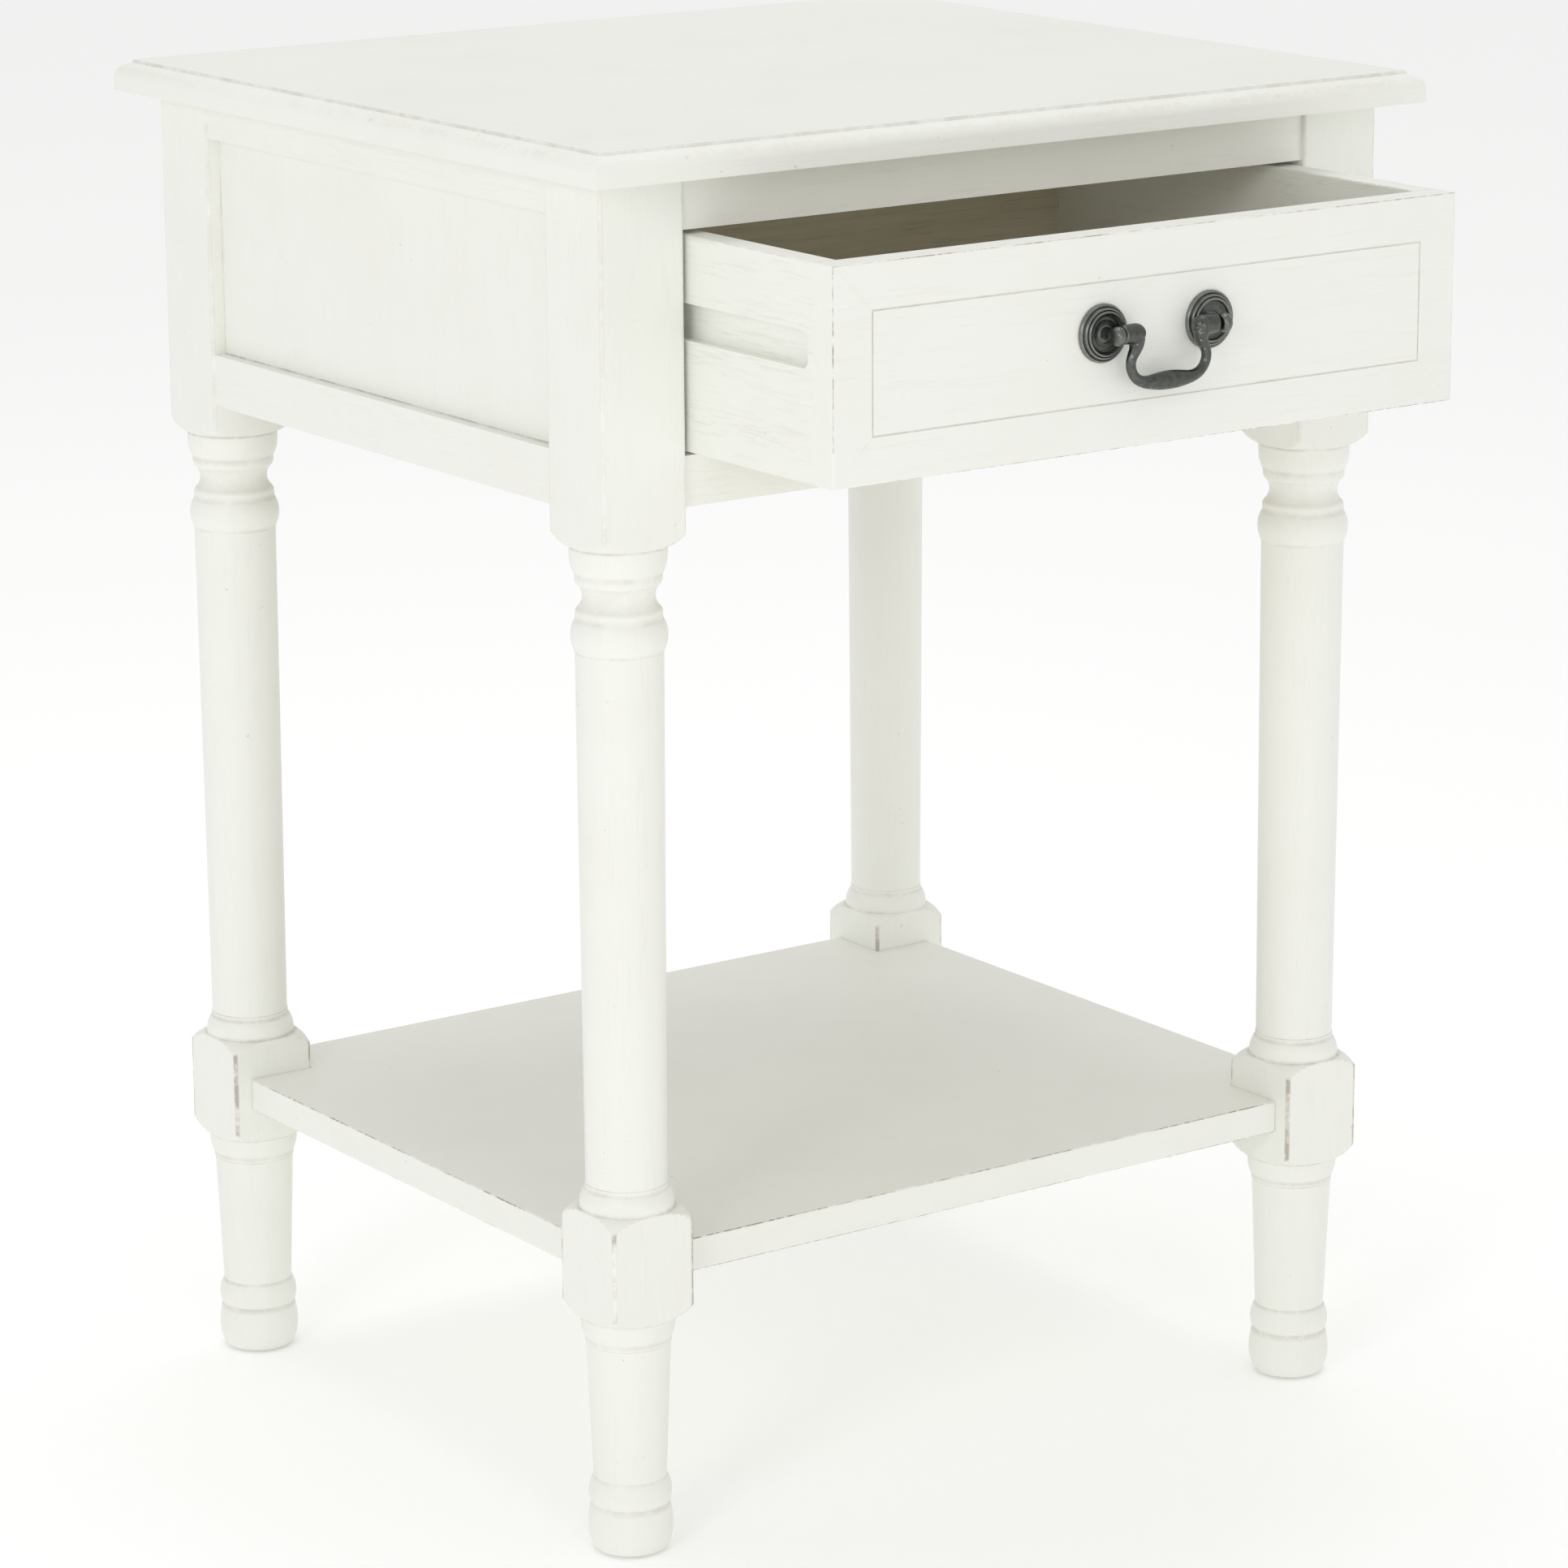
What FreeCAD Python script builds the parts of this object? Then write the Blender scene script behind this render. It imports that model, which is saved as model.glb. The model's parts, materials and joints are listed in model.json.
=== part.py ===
import FreeCAD, Part
import math
import operator
import os

import Sketcher
from FreeCAD import Rotation, Vector

# Side table: four turned legs, a framed case with one drawer on wooden runners, a notched
# lower shelf, a moulded top and a swan-neck bail pull. Lengths are millimetres.
# X runs along the front, +Y points to the back, Z = 0 is the floor.

# ------------------------------------------------------------------ driving dimensions

DIMENSIONS = {
    "table_width": 460,
    "table_depth": 414,
    "table_height": 640,
    "overhang_side": 14,
    "overhang_front": 19,
    # top board and its moulded edge
    "top_thick": 14.5,
    "edge_face": 6.5,
    "edge_ovolo_in": 4.4,
    "edge_ovolo_up": 5.7,
    "edge_ovolo_arc": 6.2,
    "edge_ledge_in": 6.6,
    "edge_ledge_up": 13.1,
    "edge_step_in": 6.9,
    # square stock of the legs
    "block_side": 43,
    "block_ease": 1.2,
    # rails, tenons and panels
    "rail_thick": 18,
    "front_recess": 2.5,
    "side_recess": 1,
    "rail_low": 480.5,
    "front_bottom_high": 503,
    "front_top_low": 601,
    "side_bottom_high": 505,
    "side_top_low": 607.5,
    "rail_ease": 0.8,
    "tenon_thick": 8,
    "tenon_set": 5,
    "tenon_long": 12,
    "joint_gap": 0.1,
    "panel_recess": 6.8,
    "panel_thick": 5,
    "panel_groove": 4,
    # lower shelf
    "shelf_low": 129.5,
    "shelf_thick": 15.5,
    "shelf_inset": 9,
    "shelf_gap": 0.2,
    "shelf_ease": 0.9,
    "dowel_radius": 4,
    "dowel_in_leg": 12,
    "dowel_in_board": 18,
    # drawer
    "drawer_open": 108,
    "drawer_width": 342.4,
    "drawer_low": 505,
    "drawer_high": 94,
    "drawer_long": 282,
    "drawer_front_thick": 14,
    "drawer_wall": 12,
    "drawer_ease": 0.8,
    "scribe_border": 20,
    "scribe_wide": 0.8,
    "scribe_deep": 0.6,
    "drawer_bottom_thick": 5,
    "drawer_bottom_rise": 10,
    "drawer_bottom_let": 5,
    "drawer_back_drop": 2,
    "drawer_dowel_radius": 3,
    "drawer_dowel_in_end": 16,
    "drawer_dowel_in_face": 8,
    "pin_radius": 0.8,
    "pin_long": 18,
    # runner and the groove it fills
    "groove_low": 48.5,
    "groove_high": 64.5,
    "groove_deep": 5,
    "groove_start": 17.7,
    "groove_corner": 4,
    "runner_play": 0.5,
    "runner_top_play": 0.3,
    "runner_back": 160,
    "screw_inset": 12,
    # cleats and screws
    "cleat_wide": 20,
    "cleat_thick": 16,
    "cleat_end_gap": 6,
    "cleat_screw_x": 100,
    "top_screw_x": 60,
    "screw_radius": 1.75,
    "screw_head_radius": 3.6,
    "screw_head_deep": 2.2,
    "screw_point": 4,
    "runner_screw_long": 26,
    "cleat_screw_long": 30,
    "top_screw_long": 25,
    # foot glides
    "glide_radius": 11,
    "glide_thick": 3,
    "glide_proud": 1.5,
    "glide_pin_radius": 1.4,
    "glide_pin_long": 13,
    # bail pull
    "pull_rise": 51.5,
    "pull_spread": 29.4,
    "pivot_out": 9.4,
    "head_out": 11,
    "head_radius": 4.2,
    "head_thick": 4.6,
    "head_round": 1.5,
    "stem_radius": 2.2,
    "stud_radius": 2,
    "stud_clear": 0.15,
    "collar_radius": 3.4,
    "collar_out": 3.6,
    "dish_out": 2.4,
    "washer_radius": 5,
    "washer_thick": 1,
    "nut_across": 7,
    "nut_thick": 3.2,
    "bail_pin_radius": 1.5,
    "bail_pin_play": 0.05,
    "bail_pin_in": 2.9,
    "bore_deep": 3.6,
    "bail_eye_radius": 4.55,
    "bail_eye_x": 18.2,
    "bail_neck_radius": 4.3,
    "bail_neck_x": 26.2,
}

# The leg's outline from the floor up: name, height, radius, radius of the arc that arrives
# there (none where the run is straight, negative where it is hollow).
LEG_TURNING = [
    ("foot_rim", 1.5, 16.6, None),
    ("foot_swell", 11, 19.4, 20),
    ("foot_neck", 22.8, 17.8, 44),
    ("ring_swell", 28, 18.9, 13),
    ("ring_top", 35.6, 16.6, 14),
    ("taper_top", 99.6, 19.1, None),
    ("fillet_low", 99.9, 19.5, None),
    ("fillet_high", 101.8, 19.5, None),
    ("bead_a", 108.6, 21.3, 14),
    ("block_low_face", 111.8, 21.35, None),
    ("block_low_edge", 119.4, 31, 14),
    ("block_high_edge", 155.9, 31, None),
    ("block_high_face", 163.2, 21.35, 14),
    ("bead_b", 164.8, 21.3, None),
    ("bead_b_top", 172.4, 18.6, 12.5),
    ("quirk_low", 174.2, 18.6, None),
    ("shaft_low", 174.5, 18.3, None),
    ("shaft_high", 416.6, 19.5, None),
    ("bead_c", 424, 21.4, 15.2),
    ("bead_c_top", 431.3, 19.3, 13.9),
    ("fillet_c", 433.9, 19.2, None),
    ("cove_lip_low", 436.3, 18.1, 2.7),
    ("cove_end", 446.7, 18.1, -7.5),
    ("cove_lip_high", 448.8, 19.2, 2.5),
    ("fillet_d", 451.3, 19.3, None),
    ("bead_d", 458.6, 21.4, 13.9),
    ("bead_d_top", 463.8, 21.35, 25),
    ("case_block_edge", 470.6, 31, 15),
]

# The bail's centre line from the middle of the grip to the eye: distance out from the middle,
# drop below the pivots, half height and half thickness of the bar.
BAIL_LINE = [
    (0, 22, 4.15, 2.7),
    (4, 22.05, 4, 2.7),
    (8, 22.05, 3.5, 2.6),
    (11.6, 21.9, 2.95, 2.5),
    (14.8, 21.2, 2.55, 2.4),
    (17.4, 19.9, 2.35, 2.3),
    (19.5, 17.7, 2.25, 2.2),
    (20.7, 14.9, 2.25, 2.2),
    (20.8, 12.2, 2.25, 2.2),
    (19.9, 9.6, 2.4, 2.35),
    (18.6, 7.3, 2.75, 2.65),
    (17.9, 5, 3.3, 3.2),
    (17.9, 2.6, 3.9, 3.8),
]

# The rosette's section from its rim to its hole: name, radius, height above the drawer front.
ROSETTE_SECTION = [
    ("rim", 12.85, 0),
    ("rim_face", 12.85, 1.3),
    ("rim_top", 12.2, 2.1),
    ("ring_foot", 11.6, 1.9),
    ("ring_side", 11.2, 3),
    ("ring_crest", 10.6, 3.5),
    ("quirk", 10.1, 3.1),
    ("lip_side", 9.8, 4),
    ("lip_crest", 9.3, 4.4),
    ("lip_inner", 8.7, 4.1),
    ("dish_edge", 8.3, 2.7),
]

OPERATIONS = {"+": operator.add, "-": operator.sub, "*": operator.mul, "/": operator.truediv}


class Size:
    """A length: its value in millimetres and the expression on the sheet that gives it."""

    def __init__(self, value, text):
        self.value = float(value)
        self.text = text

    def __add__(self, other):
        return combine(self, "+", other)

    def __radd__(self, other):
        return combine(other, "+", self)

    def __sub__(self, other):
        return combine(self, "-", other)

    def __rsub__(self, other):
        return combine(other, "-", self)

    def __mul__(self, other):
        return combine(self, "*", other)

    def __rmul__(self, other):
        return combine(other, "*", self)

    def __truediv__(self, other):
        return combine(self, "/", other)

    def __neg__(self):
        return combine(0, "-", self)


def asSize(number):
    return number if isinstance(number, Size) else Size(number, f"({float(number)!r})")


def combine(left, sign, right):
    left, right = asSize(left), asSize(right)
    return Size(OPERATIONS[sign](left.value, right.value), f"({left.text} {sign} {right.text})")


class Dimensions:
    """The document's sheet of driving dimensions, read by name as sizes."""

    def __init__(self, document, cells):
        self.sheet = document.addObject("Spreadsheet::Sheet", "Dimensions")
        for row, (name, value) in enumerate(cells.items(), 1):
            self.sheet.set(f"A{row}", name)
            self.sheet.set(f"B{row}", str(value))
            self.sheet.setAlias(f"B{row}", name)
        document.recompute()

    def __getattr__(self, name):
        return Size(self.sheet.get(name), f"Dimensions.{name}")


def allCells():
    """Every named cell: the plain dimensions and those of the shaped outlines."""
    cells = dict(DIMENSIONS)
    for name, rise, radius, arc in LEG_TURNING:
        cells[f"{name}_rise"] = rise
        cells[f"{name}_radius"] = radius
        if arc is not None:
            cells[f"{name}_arc"] = arc
    for index, (out, drop, tall, deep) in enumerate(BAIL_LINE):
        cells[f"bail_out_{index}"] = out
        cells[f"bail_drop_{index}"] = drop
        cells[f"bail_tall_{index}"] = tall
        cells[f"bail_deep_{index}"] = deep
    for name, radius, height in ROSETTE_SECTION:
        cells[f"rosette_{name}_radius"] = radius
        cells[f"rosette_{name}_height"] = height
    return cells


doc = FreeCAD.newDocument("SideTable")
d = Dimensions(doc, allCells())

# ------------------------------------------------------------------ derived sizes

half = d.block_side / 2
legX = d.table_width / 2 - d.overhang_side - half
legY = d.table_depth / 2 - d.overhang_front - half
caseTop = d.table_height - d.top_thick
innerX = legX - half
innerY = legY - half
frontFace = -(d.table_depth / 2) + d.overhang_front
drawerFace = frontFace + d.front_recess - d.drawer_open
pullReach = d.head_out + d.head_radius
# the origin is the middle of the whole footprint, open drawer and pull included
originShift = (pullReach - drawerFace - d.table_depth / 2) / 2

SUBPARTS = []

# ------------------------------------------------------------------ drawing helpers


def bind(item, path, size):
    """Ties a property to the sheet."""
    item.setExpression(path, asSize(size).text)


def place(item, x, y, z, turn=0):
    """Puts a sub-part where the table wants it, turned about Z."""
    item.Placement = FreeCAD.Placement(Vector(0, 0, 0), Rotation(Vector(0, 0, 1), turn))
    bind(item, "Placement.Base.x", x)
    bind(item, "Placement.Base.y", y + originShift)
    bind(item, "Placement.Base.z", z)


def subpart(item, label):
    """Registers a finished sub-part under the name its file gets."""
    item.Label = label
    SUBPARTS.append(item)
    return item


def newBody(label):
    body = doc.addObject("PartDesign::Body", label)
    return subpart(body, label)


def originPlane(body, role):
    return next(item for item in body.Origin.OriginFeatures if item.Role == role)


def arcThrough(start, end, radius):
    """The shorter arc between two points; a positive radius turns left, a negative one right."""
    chord = end - start
    side = Vector(-chord.y, chord.x, 0).normalize() * math.copysign(1, radius)
    height = math.sqrt(radius ** 2 - (chord.Length / 2) ** 2)
    middle = (start + end) / 2 + side * (height - abs(radius))
    return Part.Arc(start, middle, end)


def pin(geometry, point, axis, size):
    """The constraint that fixes one coordinate of a sketch point, with its expression."""
    if size.value == 0:
        return Sketcher.Constraint("PointOnObject", geometry, point, -2 if axis == "X" else -1), None
    kind = "Distance" + axis
    return Sketcher.Constraint(kind, -1, 1, geometry, point, size.value), size


def drawLoop(sketch, corners):
    """Draws a closed outline. A corner is (x, y), or (x, y, radius) where an arc arrives there."""
    corners = [tuple(asSize(entry) for entry in corner) for corner in corners]
    spots = [Vector(corner[0].value, corner[1].value, 0) for corner in corners]
    curves = []
    for index, corner in enumerate(corners):
        start, end = spots[index - 1], spots[index]
        if len(corner) == 3:
            curves.append(arcThrough(start, end, corner[2].value))
        else:
            curves.append(Part.LineSegment(start, end))
    ids = sketch.addGeometry(curves, False)
    startOf = {}
    for index, geometry in enumerate(ids):
        first = sketch.getPoint(geometry, 1)
        startOf[geometry] = 1 if first.distanceToPoint(spots[index - 1]) < 1e-6 else 2
    rules = []
    for index, geometry in enumerate(ids):
        before = ids[index - 1]
        finish = 3 - startOf[geometry]
        link = Sketcher.Constraint(
            "Coincident", before, 3 - startOf[before], geometry, startOf[geometry]
        )
        rules.append((link, None))
        rules.append(pin(geometry, finish, "X", corners[index][0]))
        rules.append(pin(geometry, finish, "Y", corners[index][1]))
        if len(corners[index]) == 3:
            radius = corners[index][2]
            plain = radius if radius.value > 0 else -radius
            rules.append((Sketcher.Constraint("Radius", geometry, plain.value), plain))
    applyRules(sketch, rules)


def drawCircle(sketch, x, y, radius):
    x, y, radius = asSize(x), asSize(y), asSize(radius)
    circle = sketch.addGeometry(
        Part.Circle(Vector(x.value, y.value, 0), Vector(0, 0, 1), radius.value), False
    )
    rules = [pin(circle, 3, "X", x), pin(circle, 3, "Y", y)]
    rules.append((Sketcher.Constraint("Radius", circle, radius.value), radius))
    applyRules(sketch, rules)


def applyRules(sketch, rules):
    numbers = sketch.addConstraint([rule for rule, size in rules])
    for number, (rule, size) in zip(numbers, rules):
        if size is not None:
            bind(sketch, f"Constraints[{number}]", size)


def newSketch(body, name, role, start=0):
    """A sketch parallel to one of the body's own planes, `start` along the positive axis."""
    sketch = body.newObject("Sketcher::SketchObject", name)
    sketch.AttachmentSupport = [(originPlane(body, role), "")]
    sketch.MapMode = "FlatFace"
    start = asSize(start)
    bind(sketch, "AttachmentOffset.Base.z", -start if role == "XZ_Plane" else start)
    return sketch


def extrude(body, kind, name, role, draw, start, depth):
    """Pads or pockets what `draw` sketches, from `start` to `start + depth` along the axis."""
    sketch = newSketch(body, name + "Sketch", role, start)
    draw(sketch)
    doc.recompute()
    before = body.Shape.Volume if body.Tip else 0
    feature = body.newObject("PartDesign::" + kind, name)
    feature.Profile = sketch
    bind(feature, "Length", depth)
    backwards = role == "XZ_Plane"
    feature.Reversed = backwards if kind == "Pad" else not backwards
    doc.recompute()
    change = body.Shape.Volume - before
    if (change > 0) != (kind == "Pad") or abs(change) < 1e-6:
        raise RuntimeError(f"{body.Label}.{name} changed the volume by {change:.3f}")
    return feature


def rectangle(x0, y0, x1, y1):
    return [(x0, y0), (x1, y0), (x1, y1), (x0, y1)]


def loops(*outlines):
    """A drawing function for several closed outlines."""
    return lambda sketch: [drawLoop(sketch, outline) for outline in outlines]


def circles(*rounds):
    """A drawing function for several circles, each (x, y, radius)."""
    return lambda sketch: [drawCircle(sketch, *one) for one in rounds]


def revolve(body, name, role, corners):
    """Turns an outline about the sketch's upright axis."""
    sketch = newSketch(body, name + "Sketch", role)
    drawLoop(sketch, corners)
    feature = body.newObject("PartDesign::Revolution", name)
    feature.Profile = sketch
    feature.ReferenceAxis = (sketch, ["V_Axis"])
    feature.Angle = 360
    doc.recompute()
    return feature


def ease(body, radius, test):
    """Rounds every straight edge of the body that `test` picks by its two end points."""

    def straight(edge):
        line = isinstance(edge.Curve, Part.Line)
        return line and test(edge.Vertexes[0].Point, edge.Vertexes[-1].Point)

    fillet(body, radius, straight)


def fillet(body, radius, wanted):
    solid = body.Tip
    edges = enumerate(solid.Shape.Edges, 1)
    names = [f"Edge{number}" for number, edge in edges if wanted(edge)]
    if not names:
        raise RuntimeError(f"{body.Label} has no edge to round")
    feature = body.newObject("PartDesign::Fillet", "Ease")
    feature.Base = (solid, names)
    bind(feature, "Radius", radius)
    doc.recompute()


def both(a, b, axis, value):
    """True where both end points lie at one coordinate."""
    return abs(a[axis] - value) < 1e-3 and abs(b[axis] - value) < 1e-3


# ------------------------------------------------------------------ fasteners


def rod(name, radius, length, spot, axis):
    """A plain round pin from `spot` along `axis`."""
    item = doc.addObject("Part::Cylinder", name)
    item.Placement = FreeCAD.Placement(Vector(0, 0, 0), Rotation(Vector(0, 0, 1), axis))
    bind(item, "Radius", radius)
    bind(item, "Height", length)
    setSpot(item, spot)
    return item


def setSpot(item, spot):
    for letter, size in zip("xyz", spot):
        bind(item, f"Placement.Base.{letter}", size)


def woodScrew(name, length, spot, axis):
    """A countersunk wood screw: its head's face is at `spot` and its point is along `axis`."""
    turn = Rotation(Vector(0, 0, 1), axis)
    head = doc.addObject("Part::Cone", name + "Head")
    bind(head, "Radius1", d.screw_head_radius)
    bind(head, "Radius2", d.screw_radius)
    bind(head, "Height", d.screw_head_deep)
    shank = doc.addObject("Part::Cylinder", name + "Shank")
    bind(shank, "Radius", d.screw_radius)
    bind(shank, "Height", length - d.screw_head_deep - d.screw_point)
    bind(shank, "Placement.Base.z", d.screw_head_deep)
    point = doc.addObject("Part::Cone", name + "Point")
    bind(point, "Radius1", d.screw_radius)
    point.Radius2 = 0
    bind(point, "Height", d.screw_point)
    bind(point, "Placement.Base.z", length - d.screw_point)
    screw = doc.addObject("Part::MultiFuse", name)
    screw.Shapes = [head, shank, point]
    screw.Placement = FreeCAD.Placement(Vector(0, 0, 0), turn)
    setSpot(screw, spot)
    return screw


def group(label, items):
    """Loose solids of one kind that share a node."""
    compound = doc.addObject("Part::Compound", label)
    compound.Links = items
    place(compound, 0, 0, 0)
    return subpart(compound, label)


def screwHole(body, name, role, spots, low, high, head):
    """Clearance holes from `low` to `high`, opened out to a screw's head on the `head` side."""
    radius = d.screw_radius
    extrude(body, "Pocket", name, role, circles(*[(x, y, radius) for x, y in spots]), low, high - low)
    start = low if head == "low" else high - d.screw_head_deep
    wide = [(x, y, d.screw_head_radius) for x, y in spots]
    extrude(body, "Pocket", name + "Head", role, circles(*wide), start, d.screw_head_deep)


# ------------------------------------------------------------------ top board


def mouldingWaste(reach, side):
    """What the edge cutter takes off one side of the board, in the plane across that edge."""
    outside = side * (reach + 1)
    face = side * reach
    ovolo = side * (reach - d.edge_ovolo_in)
    ledge = side * (reach - d.edge_ledge_in)
    step = side * (reach - d.edge_step_in)
    return [
        (face, d.edge_face),
        (ovolo, d.edge_face + d.edge_ovolo_up, side * d.edge_ovolo_arc),
        (ledge, d.edge_ledge_up),
        (step, d.top_thick + 0.01),
        (outside, d.top_thick + 0.01),
        (outside, d.edge_face),
    ]


def buildTop():
    body = newBody("top_panel")
    halfWide = d.table_width / 2
    halfDeep = d.table_depth / 2
    board = loops(rectangle(-halfWide, -halfDeep, halfWide, halfDeep))
    extrude(body, "Pad", "Board", "XY_Plane", board, 0, d.top_thick)
    ends = loops(mouldingWaste(halfWide, 1), mouldingWaste(halfWide, -1))
    extrude(body, "Pocket", "EndMoulding", "XZ_Plane", ends, -halfDeep - 1, d.table_depth + 2)
    sides = loops(mouldingWaste(halfDeep, 1), mouldingWaste(halfDeep, -1))
    extrude(body, "Pocket", "SideMoulding", "YZ_Plane", sides, -halfWide - 1, d.table_width + 2)
    spots = [(side * cleatMiddle(), along * d.top_screw_x) for side in (1, -1) for along in (1, -1)]
    holes = circles(*[(x, y, d.screw_radius) for x, y in spots])
    extrude(body, "Pocket", "ScrewHoles", "XY_Plane", holes, 0, d.top_screw_long - d.cleat_thick)
    place(body, 0, 0, caseTop)


# ------------------------------------------------------------------ legs


def legOutline():
    corners = [(0, d.foot_rim_rise)]
    for name, rise, radius, arc in LEG_TURNING:
        corner = [getattr(d, f"{name}_radius"), getattr(d, f"{name}_rise")]
        if arc is not None:
            corner.append(getattr(d, f"{name}_arc"))
        corners.append(tuple(corner))
    corners.append((d.case_block_edge_radius, caseTop))
    corners.append((0, caseTop))
    return corners


def roundedSquare(reach, radius):
    near = reach - radius
    return [
        (near, -reach),
        (reach, -near, radius),
        (reach, near),
        (near, reach, radius),
        (-near, reach),
        (-reach, near, radius),
        (-reach, -near),
        (-near, -reach, radius),
    ]


def joineryLoops(side, recess, topLow, bottomHigh, framed):
    """The mortises, and the panel groove of a framed side, across one inner face of a leg."""
    gap = d.joint_gap
    outer = half - recess - d.tenon_set
    far, near = side * (outer + gap), side * (outer - d.tenon_thick - gap)
    set_ = d.tenon_set - gap
    outlines = [
        rectangle(near, d.rail_low + set_, far, bottomHigh - set_),
        rectangle(near, topLow + set_, far, caseTop - set_),
    ]
    return outlines if not framed else outlines + [panelSlot(side, topLow, bottomHigh)]


def panelSlot(side, topLow, bottomHigh):
    gap = d.joint_gap
    outer = half - d.panel_recess
    far, near = side * (outer + gap), side * (outer - d.panel_thick - gap)
    return rectangle(near, bottomHigh - d.panel_groove, far, topLow + d.panel_groove)


def faceStart(side, depth):
    """Where a cut of `depth` into the leg's inner face begins; `side` is the leg's own side."""
    return -half if side > 0 else half - depth


def buildLeg(label, sideX, sideY):
    """One turned leg, square-cut where the case and the shelf meet it."""
    body = newBody(label)
    revolve(body, "Turning", "XZ_Plane", legOutline())

    def around(sketch):
        drawCircle(sketch, 0, 0, d.block_side)
        drawLoop(sketch, roundedSquare(half, d.block_ease))

    extrude(body, "Pocket", "SquareBlocks", "XY_Plane", around, 0, caseTop)
    depth = d.tenon_long + d.joint_gap
    frames = {
        -1: (d.front_recess, d.front_top_low, d.front_bottom_high, False),
        1: (d.side_recess, d.side_top_low, d.side_bottom_high, True),
    }
    faces = [
        ("Cross", "YZ_Plane", sideX, sideY, frames[sideY]),
        ("Side", "XZ_Plane", sideY, sideX, frames[1]),
    ]
    grooveDepth = d.panel_groove
    for name, role, inner, outer, (recess, topLow, bottomHigh, framed) in faces:
        mortises = joineryLoops(outer, recess, topLow, bottomHigh, False)
        start = faceStart(inner, depth)
        extrude(body, "Pocket", name + "Mortises", role, loops(*mortises), start, depth)
        if framed:
            slot = loops(panelSlot(outer, topLow, bottomHigh))
            start = faceStart(inner, grooveDepth)
            extrude(body, "Pocket", name + "PanelSlot", role, slot, start, grooveDepth)
    middle = d.shelf_low + d.shelf_thick / 2
    for name, role, inner in (("CrossDowel", "YZ_Plane", sideX), ("SideDowel", "XZ_Plane", sideY)):
        hole = circles((0, middle, d.dowel_radius))
        start = faceStart(inner, d.dowel_in_leg)
        extrude(body, "Pocket", name, role, hole, start, d.dowel_in_leg)
    pilot = d.runner_screw_long - runnerThick()
    holes = circles((screwInLeg(sideY), runnerMiddle(), d.screw_radius))
    extrude(body, "Pocket", "RunnerScrew", "YZ_Plane", holes, faceStart(sideX, pilot), pilot)
    seat = d.glide_thick - d.glide_proud
    hole = circles((0, 0, d.glide_radius))
    extrude(body, "Pocket", "GlideSeat", "XY_Plane", hole, d.foot_rim_rise, seat)
    hole = circles((0, 0, d.glide_pin_radius))
    extrude(body, "Pocket", "GlidePin", "XY_Plane", hole, d.foot_rim_rise, d.glide_pin_long)
    place(body, sideX * legX, sideY * legY, 0)


def screwInLeg(sideY):
    """Where a runner's screw enters a leg, measured from the leg's axis along Y."""
    return -sideY * (half - d.screw_inset)


def buildGlide(label, sideX, sideY):
    """A nylon glide let into the underside of a foot, with its nail."""
    body = newBody(label)
    top = d.glide_thick
    nail = d.glide_proud + d.glide_pin_long
    corners = [
        (0, 0),
        (d.glide_radius - 1, 0),
        (d.glide_radius, 1, 1),
        (d.glide_radius, top),
        (d.glide_pin_radius, top),
        (d.glide_pin_radius, nail - 1.5),
        (0, nail),
    ]
    revolve(body, "Turning", "XZ_Plane", corners)
    place(body, sideX * legX, sideY * legY, 0)


# ------------------------------------------------------------------ rails and panels


def buildRail(label, length, low, high, recess, groove, spot, turn):
    """A rail seen from outside: X along it, Y inwards from its outer face, Z up from its edge.

    `groove` is top, bottom or None: the edge that takes the panel.
    """
    body = newBody(label)
    tall = high - low
    section = loops(rectangle(0, 0, d.rail_thick, tall))
    extrude(body, "Pad", "Board", "YZ_Plane", section, -length / 2, length)
    tenonFace = d.tenon_set
    tenon = rectangle(tenonFace, d.tenon_set, tenonFace + d.tenon_thick, tall - d.tenon_set)
    start = -length / 2 - d.tenon_long
    extrude(body, "Pad", "Tenons", "YZ_Plane", loops(tenon), start, length + 2 * d.tenon_long)
    if groove:
        outer = d.panel_recess - recess - d.joint_gap
        inner = outer + d.panel_thick + 2 * d.joint_gap
        edge = (tall - d.panel_groove, tall) if groove == "top" else (0, d.panel_groove)
        slot = loops(rectangle(outer, edge[0], inner, edge[1]))
        extrude(body, "Pocket", "PanelSlot", "YZ_Plane", slot, -length / 2, length)
    return body, spot, turn


def finishRail(made, low):
    body, (x, y), turn = made
    place(body, x, y, low, turn)


def buildPanel(label, length, topLow, bottomHigh, spot, turn):
    """The flat panel in its grooves, Y inwards from its outer face."""
    body = newBody(label)
    let = d.panel_groove - d.joint_gap
    halfLong = length / 2 + let
    tall = topLow - bottomHigh + 2 * let
    sheet = loops(rectangle(-halfLong, 0, halfLong, tall))
    extrude(body, "Pad", "Sheet", "XZ_Plane", sheet, 0, d.panel_thick)
    place(body, spot[0], spot[1], bottomHigh - let, turn)


def buildFrontRails():
    length = 2 * innerX
    spot = (0, frontFace + d.front_recess)
    spans = (
        ("front_top_rail", d.front_top_low, caseTop),
        ("front_bottom_rail", d.rail_low, d.front_bottom_high),
    )
    for label, low, high in spans:
        made = buildRail(label, length, low, high, d.front_recess, None, spot, 0)
        finishRail(made, low)


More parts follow.
